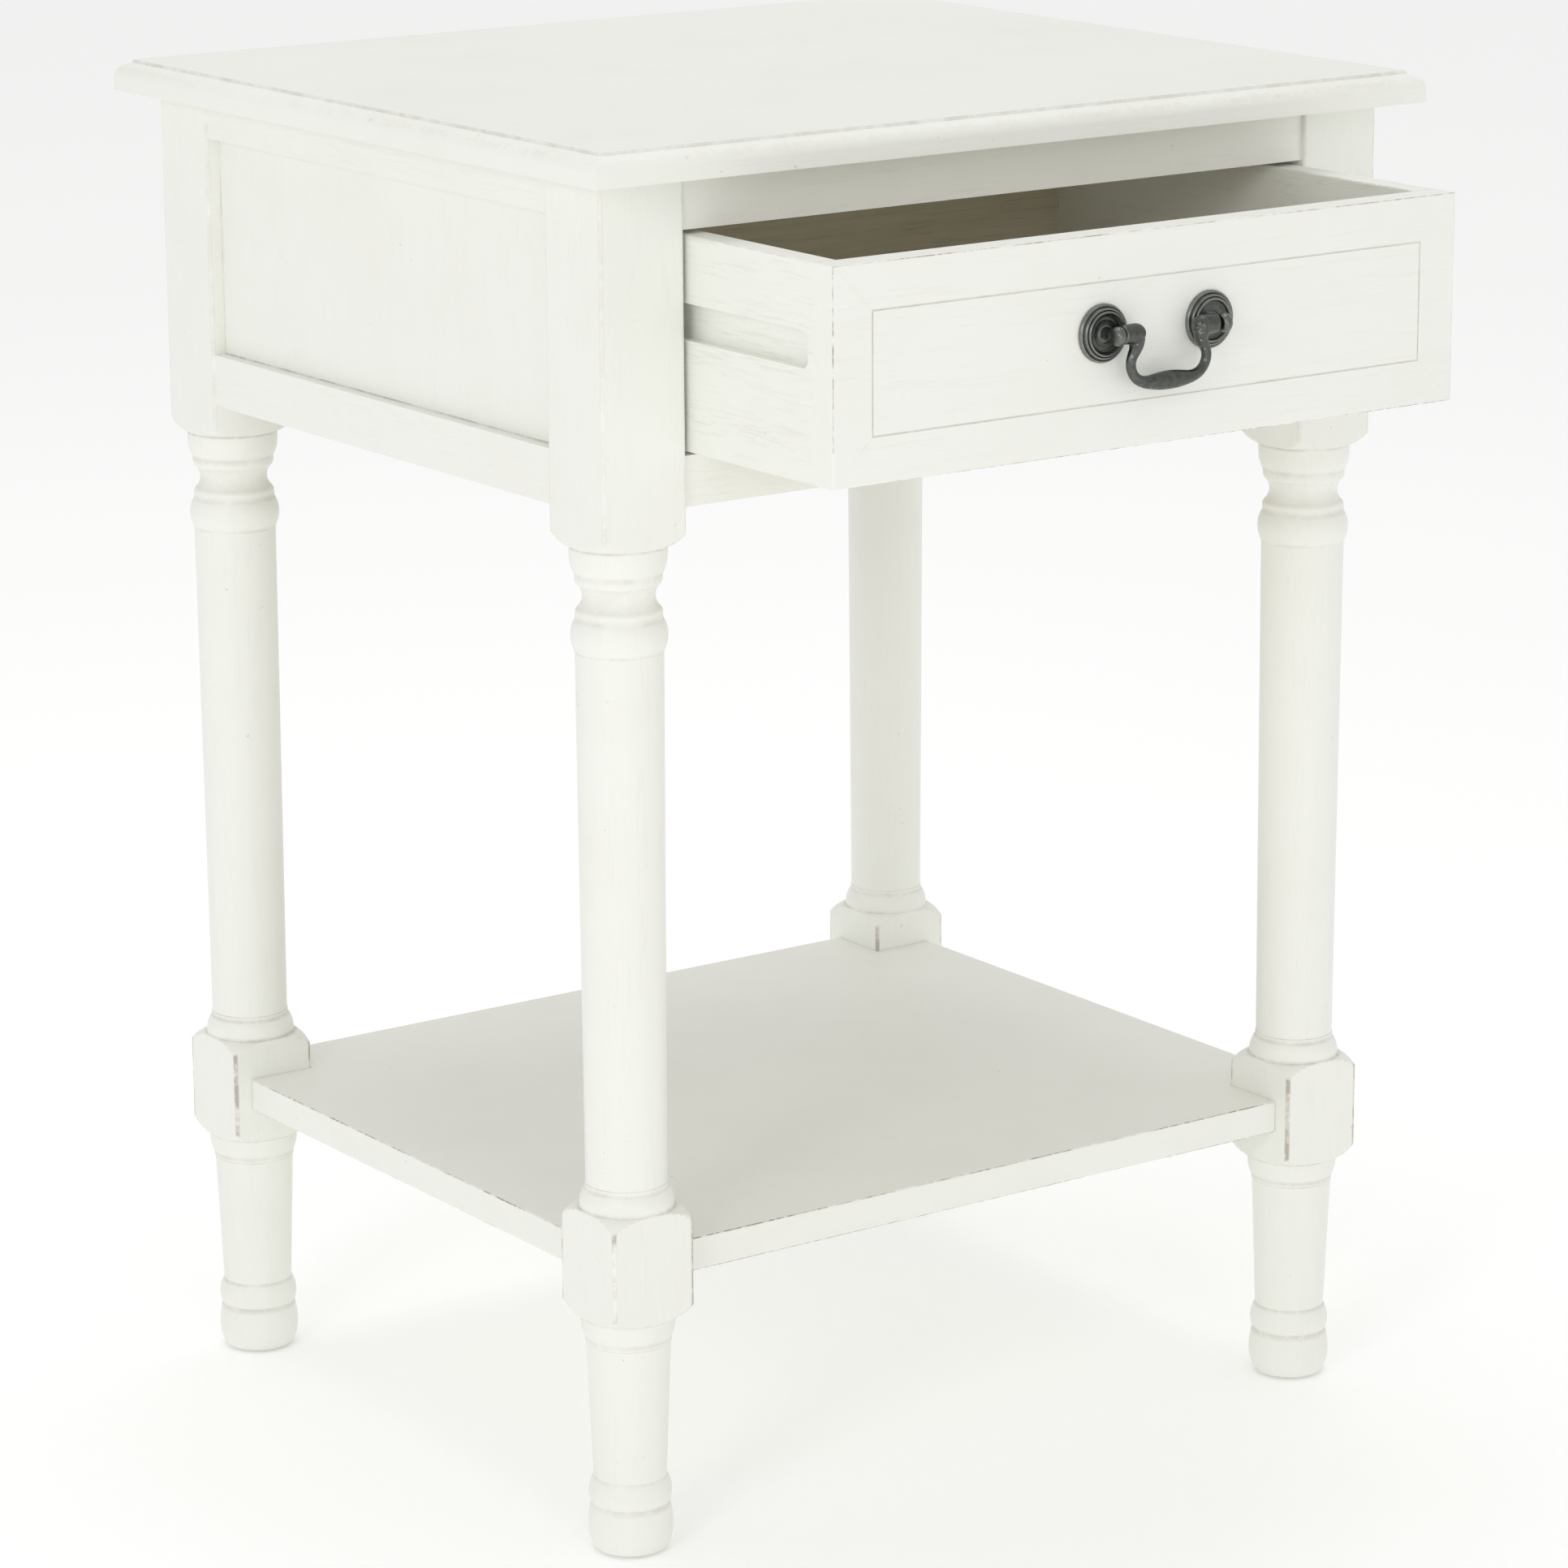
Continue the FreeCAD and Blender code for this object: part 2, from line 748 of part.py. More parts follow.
def buildFramedSide(name, length, outerSpot, panelSpot, turn, screws):
    """A framed side or back: top rail, bottom rail and the panel between them."""
    low, high = d.side_top_low, caseTop
    recess = d.side_recess
    made = buildRail(name + "_top_rail", length, low, high, recess, "bottom", outerSpot, turn)
    if screws:
        spots = [(side * d.cleat_screw_x, cleatScrewRise() - low, d.screw_radius) for side in (1, -1)]
        depth = d.cleat_screw_long - d.cleat_wide
        start = d.rail_thick - depth
        extrude(made[0], "Pocket", "ScrewHoles", "XZ_Plane", circles(*spots), start, depth)
    finishRail(made, low)
    low, high = d.rail_low, d.side_bottom_high
    made = buildRail(name + "_bottom_rail", length, low, high, recess, "top", outerSpot, turn)
    finishRail(made, low)
    buildPanel(name + "_panel", length, d.side_top_low, d.side_bottom_high, panelSpot, turn)


def buildCaseSides():
    outerX = legX + half
    outerY = legY + half
    railX, panelX = outerX - d.side_recess, outerX - d.panel_recess
    railY, panelY = outerY - d.side_recess, outerY - d.panel_recess
    buildFramedSide("left", 2 * innerY, (-railX, 0), (-panelX, 0), -90, True)
    buildFramedSide("right", 2 * innerY, (railX, 0), (panelX, 0), 90, True)
    buildFramedSide("back", 2 * innerX, (0, railY), (0, panelY), 180, False)


# ------------------------------------------------------------------ cleats under the top


def cleatInner():
    """The side rail's inner face, where the cleat is fixed."""
    return legX + half - d.side_recess - d.rail_thick


def cleatMiddle():
    return cleatInner() - d.cleat_wide / 2


def cleatScrewRise():
    return caseTop - d.cleat_thick / 2


def buildCleat(side, name):
    """A square strip that joins the top board to a side rail; X along the table's depth."""
    body = newBody(f"top_cleat_{name}")
    length = 2 * (innerY - d.cleat_end_gap)
    section = loops(rectangle(0, 0, d.cleat_wide, d.cleat_thick))
    extrude(body, "Pad", "Strip", "YZ_Plane", section, -length / 2, length)
    flat = [(along * d.cleat_screw_x, d.cleat_thick / 2) for along in (1, -1)]
    screwHole(body, "RailScrews", "XZ_Plane", flat, 0, d.cleat_wide, "low")
    upright = [(along * d.top_screw_x, d.cleat_wide / 2) for along in (1, -1)]
    screwHole(body, "TopScrews", "XY_Plane", upright, 0, d.cleat_thick, "low")
    face = side * (cleatInner() - d.cleat_wide)
    place(body, face, 0, caseTop - d.cleat_thick, -90 * side)
    return face


def buildCleats():
    sideScrews, topScrews = [], []
    for side, name in ((-1, "left"), (1, "right")):
        face = buildCleat(side, name)
        for along, end in ((-1, "Front"), (1, "Back")):
            spot = (face, along * d.cleat_screw_x, cleatScrewRise())
            tag = name.title() + end
            sideScrews.append(woodScrew("CleatScrew" + tag, d.cleat_screw_long, spot, Vector(side, 0, 0)))
            spot = (side * cleatMiddle(), along * d.top_screw_x, caseTop - d.cleat_thick)
            topScrews.append(woodScrew("TopScrew" + tag, d.top_screw_long, spot, Vector(0, 0, 1)))
    group("cleat_screws", sideScrews)
    group("top_screws", topScrews)


# ------------------------------------------------------------------ shelf


def shelfOutline():
    outX = legX + half - d.shelf_inset
    outY = legY + half - d.shelf_inset
    notchX = innerX - d.shelf_gap
    notchY = innerY - d.shelf_gap
    corners = []
    for sideX, sideY in ((1, -1), (1, 1), (-1, 1), (-1, -1)):
        bend = [
            (sideX * notchX, sideY * outY),
            (sideX * notchX, sideY * notchY),
            (sideX * outX, sideY * notchY),
        ]
        corners += bend if sideX * sideY < 0 else bend[::-1]
    return corners


def buildShelf():
    body = newBody("shelf")
    extrude(body, "Pad", "Board", "XY_Plane", loops(shelfOutline()), 0, d.shelf_thick)
    outX = (legX + half - d.shelf_inset).value
    outY = (legY + half - d.shelf_inset).value

    def outerEdge(a, b):
        level = both(a, b, 2, a[2])
        return level and any(both(a, b, 0, s * outX) or both(a, b, 1, s * outY) for s in (1, -1))

    ease(body, d.shelf_ease, outerEdge)
    middle = d.shelf_thick / 2
    reach = d.dowel_in_board
    ends = circles((legY, middle, d.dowel_radius), (-legY, middle, d.dowel_radius))
    sides = circles((legX, middle, d.dowel_radius), (-legX, middle, d.dowel_radius))
    notchX, notchY = innerX - d.shelf_gap, innerY - d.shelf_gap
    deep = reach - d.shelf_gap
    extrude(body, "Pocket", "DowelsRight", "YZ_Plane", ends, notchX - deep, deep)
    extrude(body, "Pocket", "DowelsLeft", "YZ_Plane", ends, -notchX, deep)
    extrude(body, "Pocket", "DowelsBack", "XZ_Plane", sides, notchY - deep, deep)
    extrude(body, "Pocket", "DowelsFront", "XZ_Plane", sides, -notchY, deep)
    place(body, 0, 0, d.shelf_low)


def buildShelfDowels():
    dowels = []
    length = d.dowel_in_leg + d.dowel_in_board
    height = d.shelf_low + d.shelf_thick / 2
    for sideX in (-1, 1):
        for sideY in (-1, 1):
            tag = f"{sideX}{sideY}".replace("-", "m")
            start = (sideX * (innerX - d.dowel_in_board), sideY * legY, height)
            across = rod("ShelfDowelX" + tag, d.dowel_radius, length, start, Vector(sideX, 0, 0))
            start = (sideX * legX, sideY * (innerY - d.dowel_in_board), height)
            along = rod("ShelfDowelY" + tag, d.dowel_radius, length, start, Vector(0, sideY, 0))
            dowels += [across, along]
    group("shelf_dowels", dowels)


# ------------------------------------------------------------------ drawer runners


def runnerThick():
    sidePlay = innerX - d.drawer_width / 2
    return sidePlay + d.groove_deep - d.runner_play


def runnerHigh():
    return d.groove_high - d.groove_low - d.runner_play - d.runner_top_play


def runnerLow():
    return d.drawer_low + d.groove_low + d.runner_play


def runnerMiddle():
    return runnerLow() + runnerHigh() / 2


def runnerFront():
    """The runner stops the closed drawer: its front end meets the end of the groove."""
    return frontFace + d.front_recess + d.groove_start + d.joint_gap


def runnerOutline(length):
    """The runner from the side, its front corners rounded to suit the end of the groove."""
    high = runnerHigh()
    bend = d.groove_corner + d.runner_play
    return [
        (length, 0),
        (length, high),
        (bend, high),
        (0, high - bend, bend),
        (0, bend),
        (bend, 0, bend),
    ]


def buildRunners():
    screws = []
    front = runnerFront()
    length = d.runner_back - front
    screwSpots = [legY * sideY + screwInLeg(sideY) for sideY in (-1, 1)]
    for side, name in ((-1, "left"), (1, "right")):
        body = newBody(f"drawer_runner_{name}")
        extrude(body, "Pad", "Strip", "YZ_Plane", loops(runnerOutline(length)), 0, runnerThick())
        spots = [(spot - front, runnerHigh() / 2) for spot in screwSpots]
        head = "low" if side > 0 else "high"
        screwHole(body, "Screws", "YZ_Plane", spots, 0, runnerThick(), head)
        inner = side * (innerX - runnerThick())
        place(body, inner if side > 0 else -innerX, front, runnerLow())
        for spot, end in zip(screwSpots, ("Front", "Back")):
            at = (inner, spot, runnerMiddle())
            tag = "RunnerScrew" + name.title() + end
            screws.append(woodScrew(tag, d.runner_screw_long, at, Vector(side, 0, 0)))
    group("runner_screws", screws)


# ------------------------------------------------------------------ drawer
# Each drawer piece is drawn about the middle of the drawer front's lower edge.


def placeInDrawer(item, x=0, y=0, z=0):
    place(item, x, drawerFace + y, d.drawer_low + z)


def drawerDowelSpots():
    """Heights of the dowels above the drawer's lower edge."""
    return (d.groove_low - 17, d.groove_high + 14)


def buildDrawerFront():
    body = newBody("drawer_front")
    wide = d.drawer_width / 2
    thick = d.drawer_front_thick
    face = loops(rectangle(-wide, 0, wide, d.drawer_high))
    extrude(body, "Pad", "Board", "XZ_Plane", face, 0, thick)
    high = d.drawer_high.value

    def faceEdge(a, b):
        return both(a, b, 1, 0)

    def topEdge(a, b):
        return both(a, b, 2, high) and both(a, b, 1, thick.value)

    ease(body, d.drawer_ease, lambda a, b: faceEdge(a, b) or topEdge(a, b))
    outer, inner = d.scribe_border, d.scribe_border + d.scribe_wide
    scribe = [
        rectangle(-wide + edge, edge, wide - edge, d.drawer_high - edge) for edge in (outer, inner)
    ]
    extrude(body, "Pocket", "Scribe", "XZ_Plane", loops(*scribe), 0, d.scribe_deep)
    let = d.drawer_bottom_let
    groove = rectangle(-wide + d.drawer_wall - let, d.drawer_bottom_rise,
                       wide - d.drawer_wall + let, bottomHigh())
    extrude(body, "Pocket", "BottomGroove", "XZ_Plane", loops(groove), thick - let, let)
    deep = d.drawer_dowel_in_face
    middle = wide - d.drawer_wall / 2
    spots = [(side * middle, rise, d.drawer_dowel_radius) for side in (1, -1)
             for rise in drawerDowelSpots()]
    extrude(body, "Pocket", "Dowels", "XZ_Plane", circles(*spots), thick - deep, deep)
    bolts = [(side * d.pull_spread, d.pull_rise, d.stud_radius + d.stud_clear) for side in (1, -1)]
    extrude(body, "Pocket", "PullHoles", "XZ_Plane", circles(*bolts), 0, thick)
    placeInDrawer(body)


def bottomHigh():
    """The upper side of the groove for the drawer's bottom."""
    return d.drawer_bottom_rise + d.drawer_bottom_thick + d.joint_gap


def backFront():
    """The drawer back's front face, behind the drawer's own front face."""
    return d.drawer_long - d.drawer_wall


def buildDrawerSide(side, name):
    """One side, X outwards from its inner face; its outer face carries the runner groove."""
    body = newBody(f"drawer_side_{name}")
    wall = d.drawer_wall
    length = d.drawer_long - d.drawer_front_thick
    board = loops(rectangle(0, 0, length, d.drawer_high))
    extrude(body, "Pad", "Board", "YZ_Plane", board, 0, wall)
    top = d.drawer_high.value
    ease(body, d.drawer_ease, lambda a, b: both(a, b, 2, top) and abs(a[1] - b[1]) > 50)
    start = d.groove_start - d.drawer_front_thick
    low, high, bend = d.groove_low, d.groove_high, d.groove_corner
    outline = [
        (length + 1, low),
        (length + 1, high),
        (start + bend, high),
        (start, high - bend, bend),
        (start, low + bend),
        (start + bend, low, bend),
    ]
    outside = wall - d.groove_deep if side > 0 else 0
    extrude(body, "Pocket", "RunnerGroove", "YZ_Plane", loops(outline), outside, d.groove_deep)
    let = d.drawer_bottom_let
    inside = 0 if side > 0 else wall - let
    slot = rectangle(-1, d.drawer_bottom_rise, length + 1, bottomHigh())
    extrude(body, "Pocket", "BottomGroove", "YZ_Plane", loops(slot), inside, let)
    holes = [(wall / 2, rise, d.drawer_dowel_radius) for rise in drawerDowelSpots()]
    deep = d.drawer_dowel_in_end
    extrude(body, "Pocket", "FrontDowels", "XZ_Plane", circles(*holes), 0, deep)
    deep = d.drawer_dowel_in_face
    middle = backFront() + wall / 2 - d.drawer_front_thick
    holes = [(middle, rise, d.drawer_dowel_radius) for rise in drawerDowelSpots()]
    start = 0 if side > 0 else wall - deep
    extrude(body, "Pocket", "BackDowels", "YZ_Plane", circles(*holes), start, deep)
    inner = d.drawer_width / 2 - wall
    placeInDrawer(body, inner if side > 0 else -(d.drawer_width / 2), d.drawer_front_thick, 0)


def buildDrawerBack():
    body = newBody("drawer_back")
    reach = d.drawer_width / 2 - d.drawer_wall
    low = bottomHigh()
    high = d.drawer_high - d.drawer_back_drop
    extrude(body, "Pad", "Board", "XZ_Plane", loops(rectangle(-reach, low, reach, high)), 0, d.drawer_wall)
    deep = d.drawer_dowel_in_end
    holes = circles(*[(d.drawer_wall / 2, rise, d.drawer_dowel_radius) for rise in drawerDowelSpots()])
    extrude(body, "Pocket", "DowelsRight", "YZ_Plane", holes, reach - deep, deep)
    extrude(body, "Pocket", "DowelsLeft", "YZ_Plane", holes, -reach, deep)
    pins = circles(*[(x, d.drawer_wall / 2, d.pin_radius) for x in bottomPinSpots()])
    deep = d.pin_long - d.drawer_bottom_thick - d.joint_gap
    extrude(body, "Pocket", "Pins", "XY_Plane", pins, low, deep)
    placeInDrawer(body, 0, backFront(), 0)


def bottomPinSpots():
    return [step * d.drawer_width / 3 for step in (-1, 0, 1)]


def buildDrawerBottom():
    body = newBody("drawer_bottom")
    reach = d.drawer_width / 2 - d.drawer_wall + d.drawer_bottom_let - d.joint_gap
    front = d.drawer_front_thick - d.drawer_bottom_let + d.joint_gap
    sheet = loops(rectangle(-reach, front, reach, d.drawer_long))
    extrude(body, "Pad", "Sheet", "XY_Plane", sheet, 0, d.drawer_bottom_thick)
    middle = backFront() + d.drawer_wall / 2
    pins = circles(*[(x, middle, d.pin_radius) for x in bottomPinSpots()])
    extrude(body, "Pocket", "Pins", "XY_Plane", pins, 0, d.drawer_bottom_thick)
    placeInDrawer(body, 0, 0, d.drawer_bottom_rise)


def buildDrawerDowels():
    """Dowels in the drawer's four corners, two to a corner."""
    radius = d.drawer_dowel_radius
    length = d.drawer_dowel_in_face + d.drawer_dowel_in_end
    items = []
    for side in (-1, 1):
        for number, rise in enumerate(drawerDowelSpots()):
            tag = f"{'Left' if side < 0 else 'Right'}{number}"
            x = side * (d.drawer_width / 2 - d.drawer_wall / 2)
            y = d.drawer_front_thick - d.drawer_dowel_in_face
            spot = (x, drawerFace + y, d.drawer_low + rise)
            items.append(rod("FrontDowel" + tag, radius, length, spot, Vector(0, 1, 0)))
            x = side * (d.drawer_width / 2 - d.drawer_wall - d.drawer_dowel_in_end)
            y = backFront() + d.drawer_wall / 2
            spot = (x, drawerFace + y, d.drawer_low + rise)
            items.append(rod("BackDowel" + tag, radius, length, spot, Vector(side, 0, 0)))
    group("drawer_dowels", items)


def buildBottomPins():
    """Pins that hold the bottom's rear edge up to the drawer back."""
    items = []
    y = drawerFace + backFront() + d.drawer_wall / 2
    for number, x in enumerate(bottomPinSpots()):
        spot = (x, y, d.drawer_low + d.drawer_bottom_rise)
        items.append(rod(f"BottomPin{number}", d.pin_radius, d.pin_long, spot, Vector(0, 0, 1)))
    group("drawer_bottom_pins", items)


# ------------------------------------------------------------------ bail pull
# Each pull piece is drawn about the middle of the pull, on the drawer front's face, with
# heights above that face along -Y.


def placeOnFront(item, x=0, y=0, z=0):
    placeInDrawer(item, x, y, d.pull_rise + z)


def buildRosette(label, side):
    body = newBody(label)
    hole = d.stud_radius + d.stud_clear
    corners = [(hole, 0)]
    for name, radius, height in ROSETTE_SECTION:
        rise = getattr(d, f"rosette_{name}_height")
        corners.append((getattr(d, f"rosette_{name}_radius"), -rise))
    corners.append((d.collar_radius + 0.6, -d.dish_out))
    corners.append((hole, -d.dish_out))
    revolve(body, "Turning", "XY_Plane", corners)
    placeOnFront(body, side * d.pull_spread)


def buildPost(label, side):
    """A stud through the drawer front: collar on the rosette, stem, and a flat, bored head."""
    body = newBody(label)
    inside = d.drawer_front_thick + d.washer_thick + d.nut_thick + 1
    stem = d.stem_radius
    corners = [
        (0, inside),
        (0, -d.head_out),
        (stem, -d.head_out),
        (stem, -d.collar_out - 0.6),
        (d.collar_radius, -d.collar_out),
        (d.collar_radius, -d.dish_out),
        (d.stud_radius, -d.dish_out),
        (d.stud_radius, inside),
    ]
    revolve(body, "Turning", "XY_Plane", corners)
    disc = circles((-d.head_out, 0, d.head_radius))
    extrude(body, "Pad", "Head", "YZ_Plane", disc, -d.head_thick / 2, d.head_thick)
    rim = d.head_radius.value
    fillet(body, d.head_round, lambda edge: abs(getattr(edge.Curve, "Radius", 0) - rim) < 1e-6)
    bore = circles((-d.pivot_out, 0, d.bail_pin_radius + d.bail_pin_play))
    start = -d.head_thick / 2 if side > 0 else d.head_thick / 2 - d.bore_deep
    extrude(body, "Pocket", "Bore", "YZ_Plane", bore, start, d.bore_deep)
    placeOnFront(body, side * d.pull_spread)


def buildWashersAndNuts():
    washers, nuts = [], []
    seat = drawerFace + d.drawer_front_thick
    for side, name in ((-1, "Left"), (1, "Right")):
        spot = (side * d.pull_spread, seat, d.drawer_low + d.pull_rise)
        disc = rod("WasherDisc" + name, d.washer_radius, d.washer_thick, spot, Vector(0, 1, 0))
        bore = rod("WasherBore" + name, d.stud_radius + d.stud_clear, d.washer_thick, spot, Vector(0, 1, 0))
        washer = doc.addObject("Part::Cut", "Washer" + name)
        washer.Base, washer.Tool = disc, bore
        washers.append(washer)
        spot = (spot[0], seat + d.washer_thick, spot[2])
        blank = doc.addObject("Part::Prism", "NutBlank" + name)
        blank.Polygon = 6
        blank.Placement = FreeCAD.Placement(Vector(0, 0, 0), Rotation(Vector(0, 0, 1), Vector(0, 1, 0)))
        bind(blank, "Circumradius", d.nut_across / math.sqrt(3))
        bind(blank, "Height", d.nut_thick)
        setSpot(blank, spot)
        thread = rod("NutBore" + name, d.stud_radius, d.nut_thick, spot, Vector(0, 1, 0))
        nut = doc.addObject("Part::Cut", "Nut" + name)
        nut.Base, nut.Tool = blank, thread
        nuts.append(nut)
    group("pull_washers", washers)
    group("pull_nuts", nuts)


def bailStations():
    """Centre points and half sizes of the bar's sections, from the left eye to the right."""
    rows = []
    for index in range(len(BAIL_LINE)):
        rows.append([getattr(d, f"bail_{what}_{index}") for what in ("out", "drop", "tall", "deep")])
    left = [[-out, drop, tall, deep] for out, drop, tall, deep in rows[:0:-1]]
    return left + rows


def buildBail():
    """The swan-neck handle: a swelling bar, a knuckle at each end and the pins it swings on."""
    stations = bailStations()
    sections = []
    for index, (out, drop, tall, deep) in enumerate(stations):
        before = stations[max(index - 1, 0)]
        after = stations[min(index + 1, len(stations) - 1)]
        run = Vector(after[0].value - before[0].value, 0, before[1].value - after[1].value)
        section = doc.addObject("Part::Ellipse", f"BailSection{index}")
        # the ellipse's long axis lies in the handle's plane, square to the bar
        across = Vector(0, 1, 0).cross(run).normalize()
        turn = Rotation(across, run.cross(across), run, "ZXY")
        section.Placement = FreeCAD.Placement(Vector(0, 0, 0), turn)
        bind(section, "MajorRadius", tall)
        bind(section, "MinorRadius", deep)
        bind(section, "Placement.Base.x", out)
        bind(section, "Placement.Base.z", -drop)
        sections.append(section)
    bar = doc.addObject("Part::Loft", "BailBar")
    bar.Sections = sections
    bar.Solid = True
    pieces = [bar]
    for side, name in ((-1, "Left"), (1, "Right")):
        eye = doc.addObject("Part::Sphere", "BailEye" + name)
        bind(eye, "Radius", d.bail_eye_radius)
        bind(eye, "Placement.Base.x", side * d.bail_eye_x)
        out = Vector(side, 0, 0)
        spot = (side * d.bail_eye_x, 0, 0)
        neck = rod("BailNeck" + name, d.bail_neck_radius, d.bail_neck_x - d.bail_eye_x, spot, out)
        reach = d.pull_spread - d.bail_eye_x - d.head_thick / 2 + d.bail_pin_in
        tip = rod("BailPin" + name, d.bail_pin_radius, reach, spot, out)
        pieces += [eye, neck, tip]
    bail = doc.addObject("Part::MultiFuse", "Bail")
    bail.Shapes = pieces
    subpart(bail, "bail")
    placeOnFront(bail, 0, -d.pivot_out)


# ------------------------------------------------------------------ build, check and write


def buildTable():
    buildTop()
    corners = (("front", -1), ("back", 1))
    for where, sideY in corners:
        for side, sideX in (("left", -1), ("right", 1)):
            buildLeg(f"leg_{where}_{side}", sideX, sideY)
            buildGlide(f"foot_glide_{where}_{side}", sideX, sideY)
    buildFrontRails()
    buildCaseSides()
    buildCleats()
    buildShelf()
    buildShelfDowels()
    buildRunners()
    buildDrawerFront()
    for side, name in ((-1, "left"), (1, "right")):
        buildDrawerSide(side, name)
    buildDrawerBack()
    buildDrawerBottom()
    buildDrawerDowels()
    buildBottomPins()
    for side, name in ((-1, "left"), (1, "right")):
        buildRosette(f"rosette_{name}", side)
        buildPost(f"pull_post_{name}", side)
    buildWashersAndNuts()
    buildBail()


def checkDocument():
    """Stops on any failed object and on any sub-part without a sound shape."""
    for item in doc.Objects:
        if "Invalid" in item.State or "Error" in item.State:
            raise RuntimeError(f"{item.Name} is {item.State}")
    for item in SUBPARTS:
        if item.Shape.isNull() or not item.Shape.isValid():
            raise RuntimeError(f"{item.Label} has no sound shape")


def writeSubparts():
    os.makedirs("parts", exist_ok=True)
    for item in SUBPARTS:
        item.Shape.exportStep(f"parts/{item.Label}.step")
        print(item.Label, len(item.Shape.Solids), round(item.Shape.Volume))


buildTable()
doc.recompute()
checkDocument()
writeSubparts()
box = Part.makeCompound([item.Shape for item in SUBPARTS]).BoundBox
print("box", [round(side, 3) for side in (box.XMin, box.YMin, box.ZMin, box.XMax, box.YMax, box.ZMax)])
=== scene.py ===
import json
import math

import bmesh
import bpy
from mathutils import Matrix, Vector


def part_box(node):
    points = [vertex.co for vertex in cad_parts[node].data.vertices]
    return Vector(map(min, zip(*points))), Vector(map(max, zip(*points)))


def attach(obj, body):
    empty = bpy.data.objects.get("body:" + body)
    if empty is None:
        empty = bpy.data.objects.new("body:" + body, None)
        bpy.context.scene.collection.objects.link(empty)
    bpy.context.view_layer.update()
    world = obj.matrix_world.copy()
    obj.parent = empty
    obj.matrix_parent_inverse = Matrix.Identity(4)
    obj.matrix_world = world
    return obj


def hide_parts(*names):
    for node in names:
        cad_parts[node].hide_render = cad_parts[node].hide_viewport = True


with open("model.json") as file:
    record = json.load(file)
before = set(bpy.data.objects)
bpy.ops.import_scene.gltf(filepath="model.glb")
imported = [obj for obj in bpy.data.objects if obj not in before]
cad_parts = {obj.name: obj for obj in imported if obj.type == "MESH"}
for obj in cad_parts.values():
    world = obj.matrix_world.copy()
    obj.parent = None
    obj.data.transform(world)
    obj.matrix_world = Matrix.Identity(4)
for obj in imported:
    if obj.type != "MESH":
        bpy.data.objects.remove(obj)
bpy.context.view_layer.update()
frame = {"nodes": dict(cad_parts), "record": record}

# White painted side table with turned legs, a lower shelf and one drawer on a bail pull.
# Metres, X along the front, +Y to the back, Z up from the floor.

mm = 0.001
nodes = frame["nodes"]


# node trees: a Signal is one socket, and arithmetic on it adds Math nodes

class Signal:
    def __init__(self, graph, socket):
        self.graph = graph
        self.socket = socket

    def maths(self, operation, first, second=0.0):
        return self.graph.add("ShaderNodeMath", {"operation": operation}, {0: first, 1: second})

    def __add__(self, other):
        return self.maths("ADD", self, other)

    def __radd__(self, other):
        return self.maths("ADD", other, self)

    def __sub__(self, other):
        return self.maths("SUBTRACT", self, other)

    def __rsub__(self, other):
        return self.maths("SUBTRACT", other, self)

    def __mul__(self, other):
        return self.maths("MULTIPLY", self, other)

    def __rmul__(self, other):
        return self.maths("MULTIPLY", other, self)

    def __truediv__(self, other):
        return self.maths("DIVIDE", self, other)

    def __rtruediv__(self, other):
        return self.maths("DIVIDE", other, self)

    def __pow__(self, other):
        return self.maths("POWER", self, other)

    def __abs__(self):
        return self.maths("ABSOLUTE", self)

    def least(self, other):
        return self.maths("MINIMUM", self, other)

    def most(self, other):
        return self.maths("MAXIMUM", self, other)

    def ramp(self, low, high):  # 0 below low, 1 above high, clamped
        values = {"Value": self, "From Min": low, "From Max": high}
        return self.graph.add("ShaderNodeMapRange", {"clamp": True}, values)


class Graph:
    def __init__(self, tree):
        self.tree = tree

    def add(self, kind, settings=None, values=None, out=0):
        node = self.tree.nodes.new(kind)
        for name, value in (settings or {}).items():
            setattr(node, name, value)
        for key, value in (values or {}).items():
            self.feed(node.inputs[key], value)
        return Signal(self, node.outputs[out])

    def feed(self, socket, value):
        if isinstance(value, Signal):
            self.tree.links.new(value.socket, socket)
        else:
            socket.default_value = value

    def split(self, vector):
        node = self.tree.nodes.new("ShaderNodeSeparateXYZ")
        self.feed(node.inputs[0], vector)
        return [Signal(self, socket) for socket in node.outputs]


class Finish(Graph):
    def __init__(self, name):
        self.material = bpy.data.materials.new(name)
        self.material.use_nodes = True
        super().__init__(self.material.node_tree)
        self.shader = self.tree.nodes["Principled BSDF"]

    def set(self, **sockets):
        for name, value in sockets.items():
            self.feed(self.shader.inputs[name.replace("_", " ")], value)

    def place(self, scale=(1, 1, 1)):
        spot = self.add("ShaderNodeTexCoord", out="Object")
        return self.add("ShaderNodeMapping", None, {"Vector": spot, "Scale": scale})

    def noise(self, spot, scale, detail=3.0, roughness=0.5, distortion=0.0):
        values = {"Vector": spot, "Scale": scale, "Detail": detail}
        values.update({"Roughness": roughness, "Distortion": distortion})
        return self.add("ShaderNodeTexNoise", None, values)

    def blend(self, mask, under, over):
        values = {0: mask, 6: under, 7: over}
        return self.add("ShaderNodeMix", {"data_type": "RGBA"}, values, 2)

    def bump(self, height, strength, distance):
        values = {"Height": height, "Strength": strength, "Distance": distance}
        return self.add("ShaderNodeBump", None, values)


def colour(red, green, blue):
    return (red, green, blue, 1.0)


# finishes

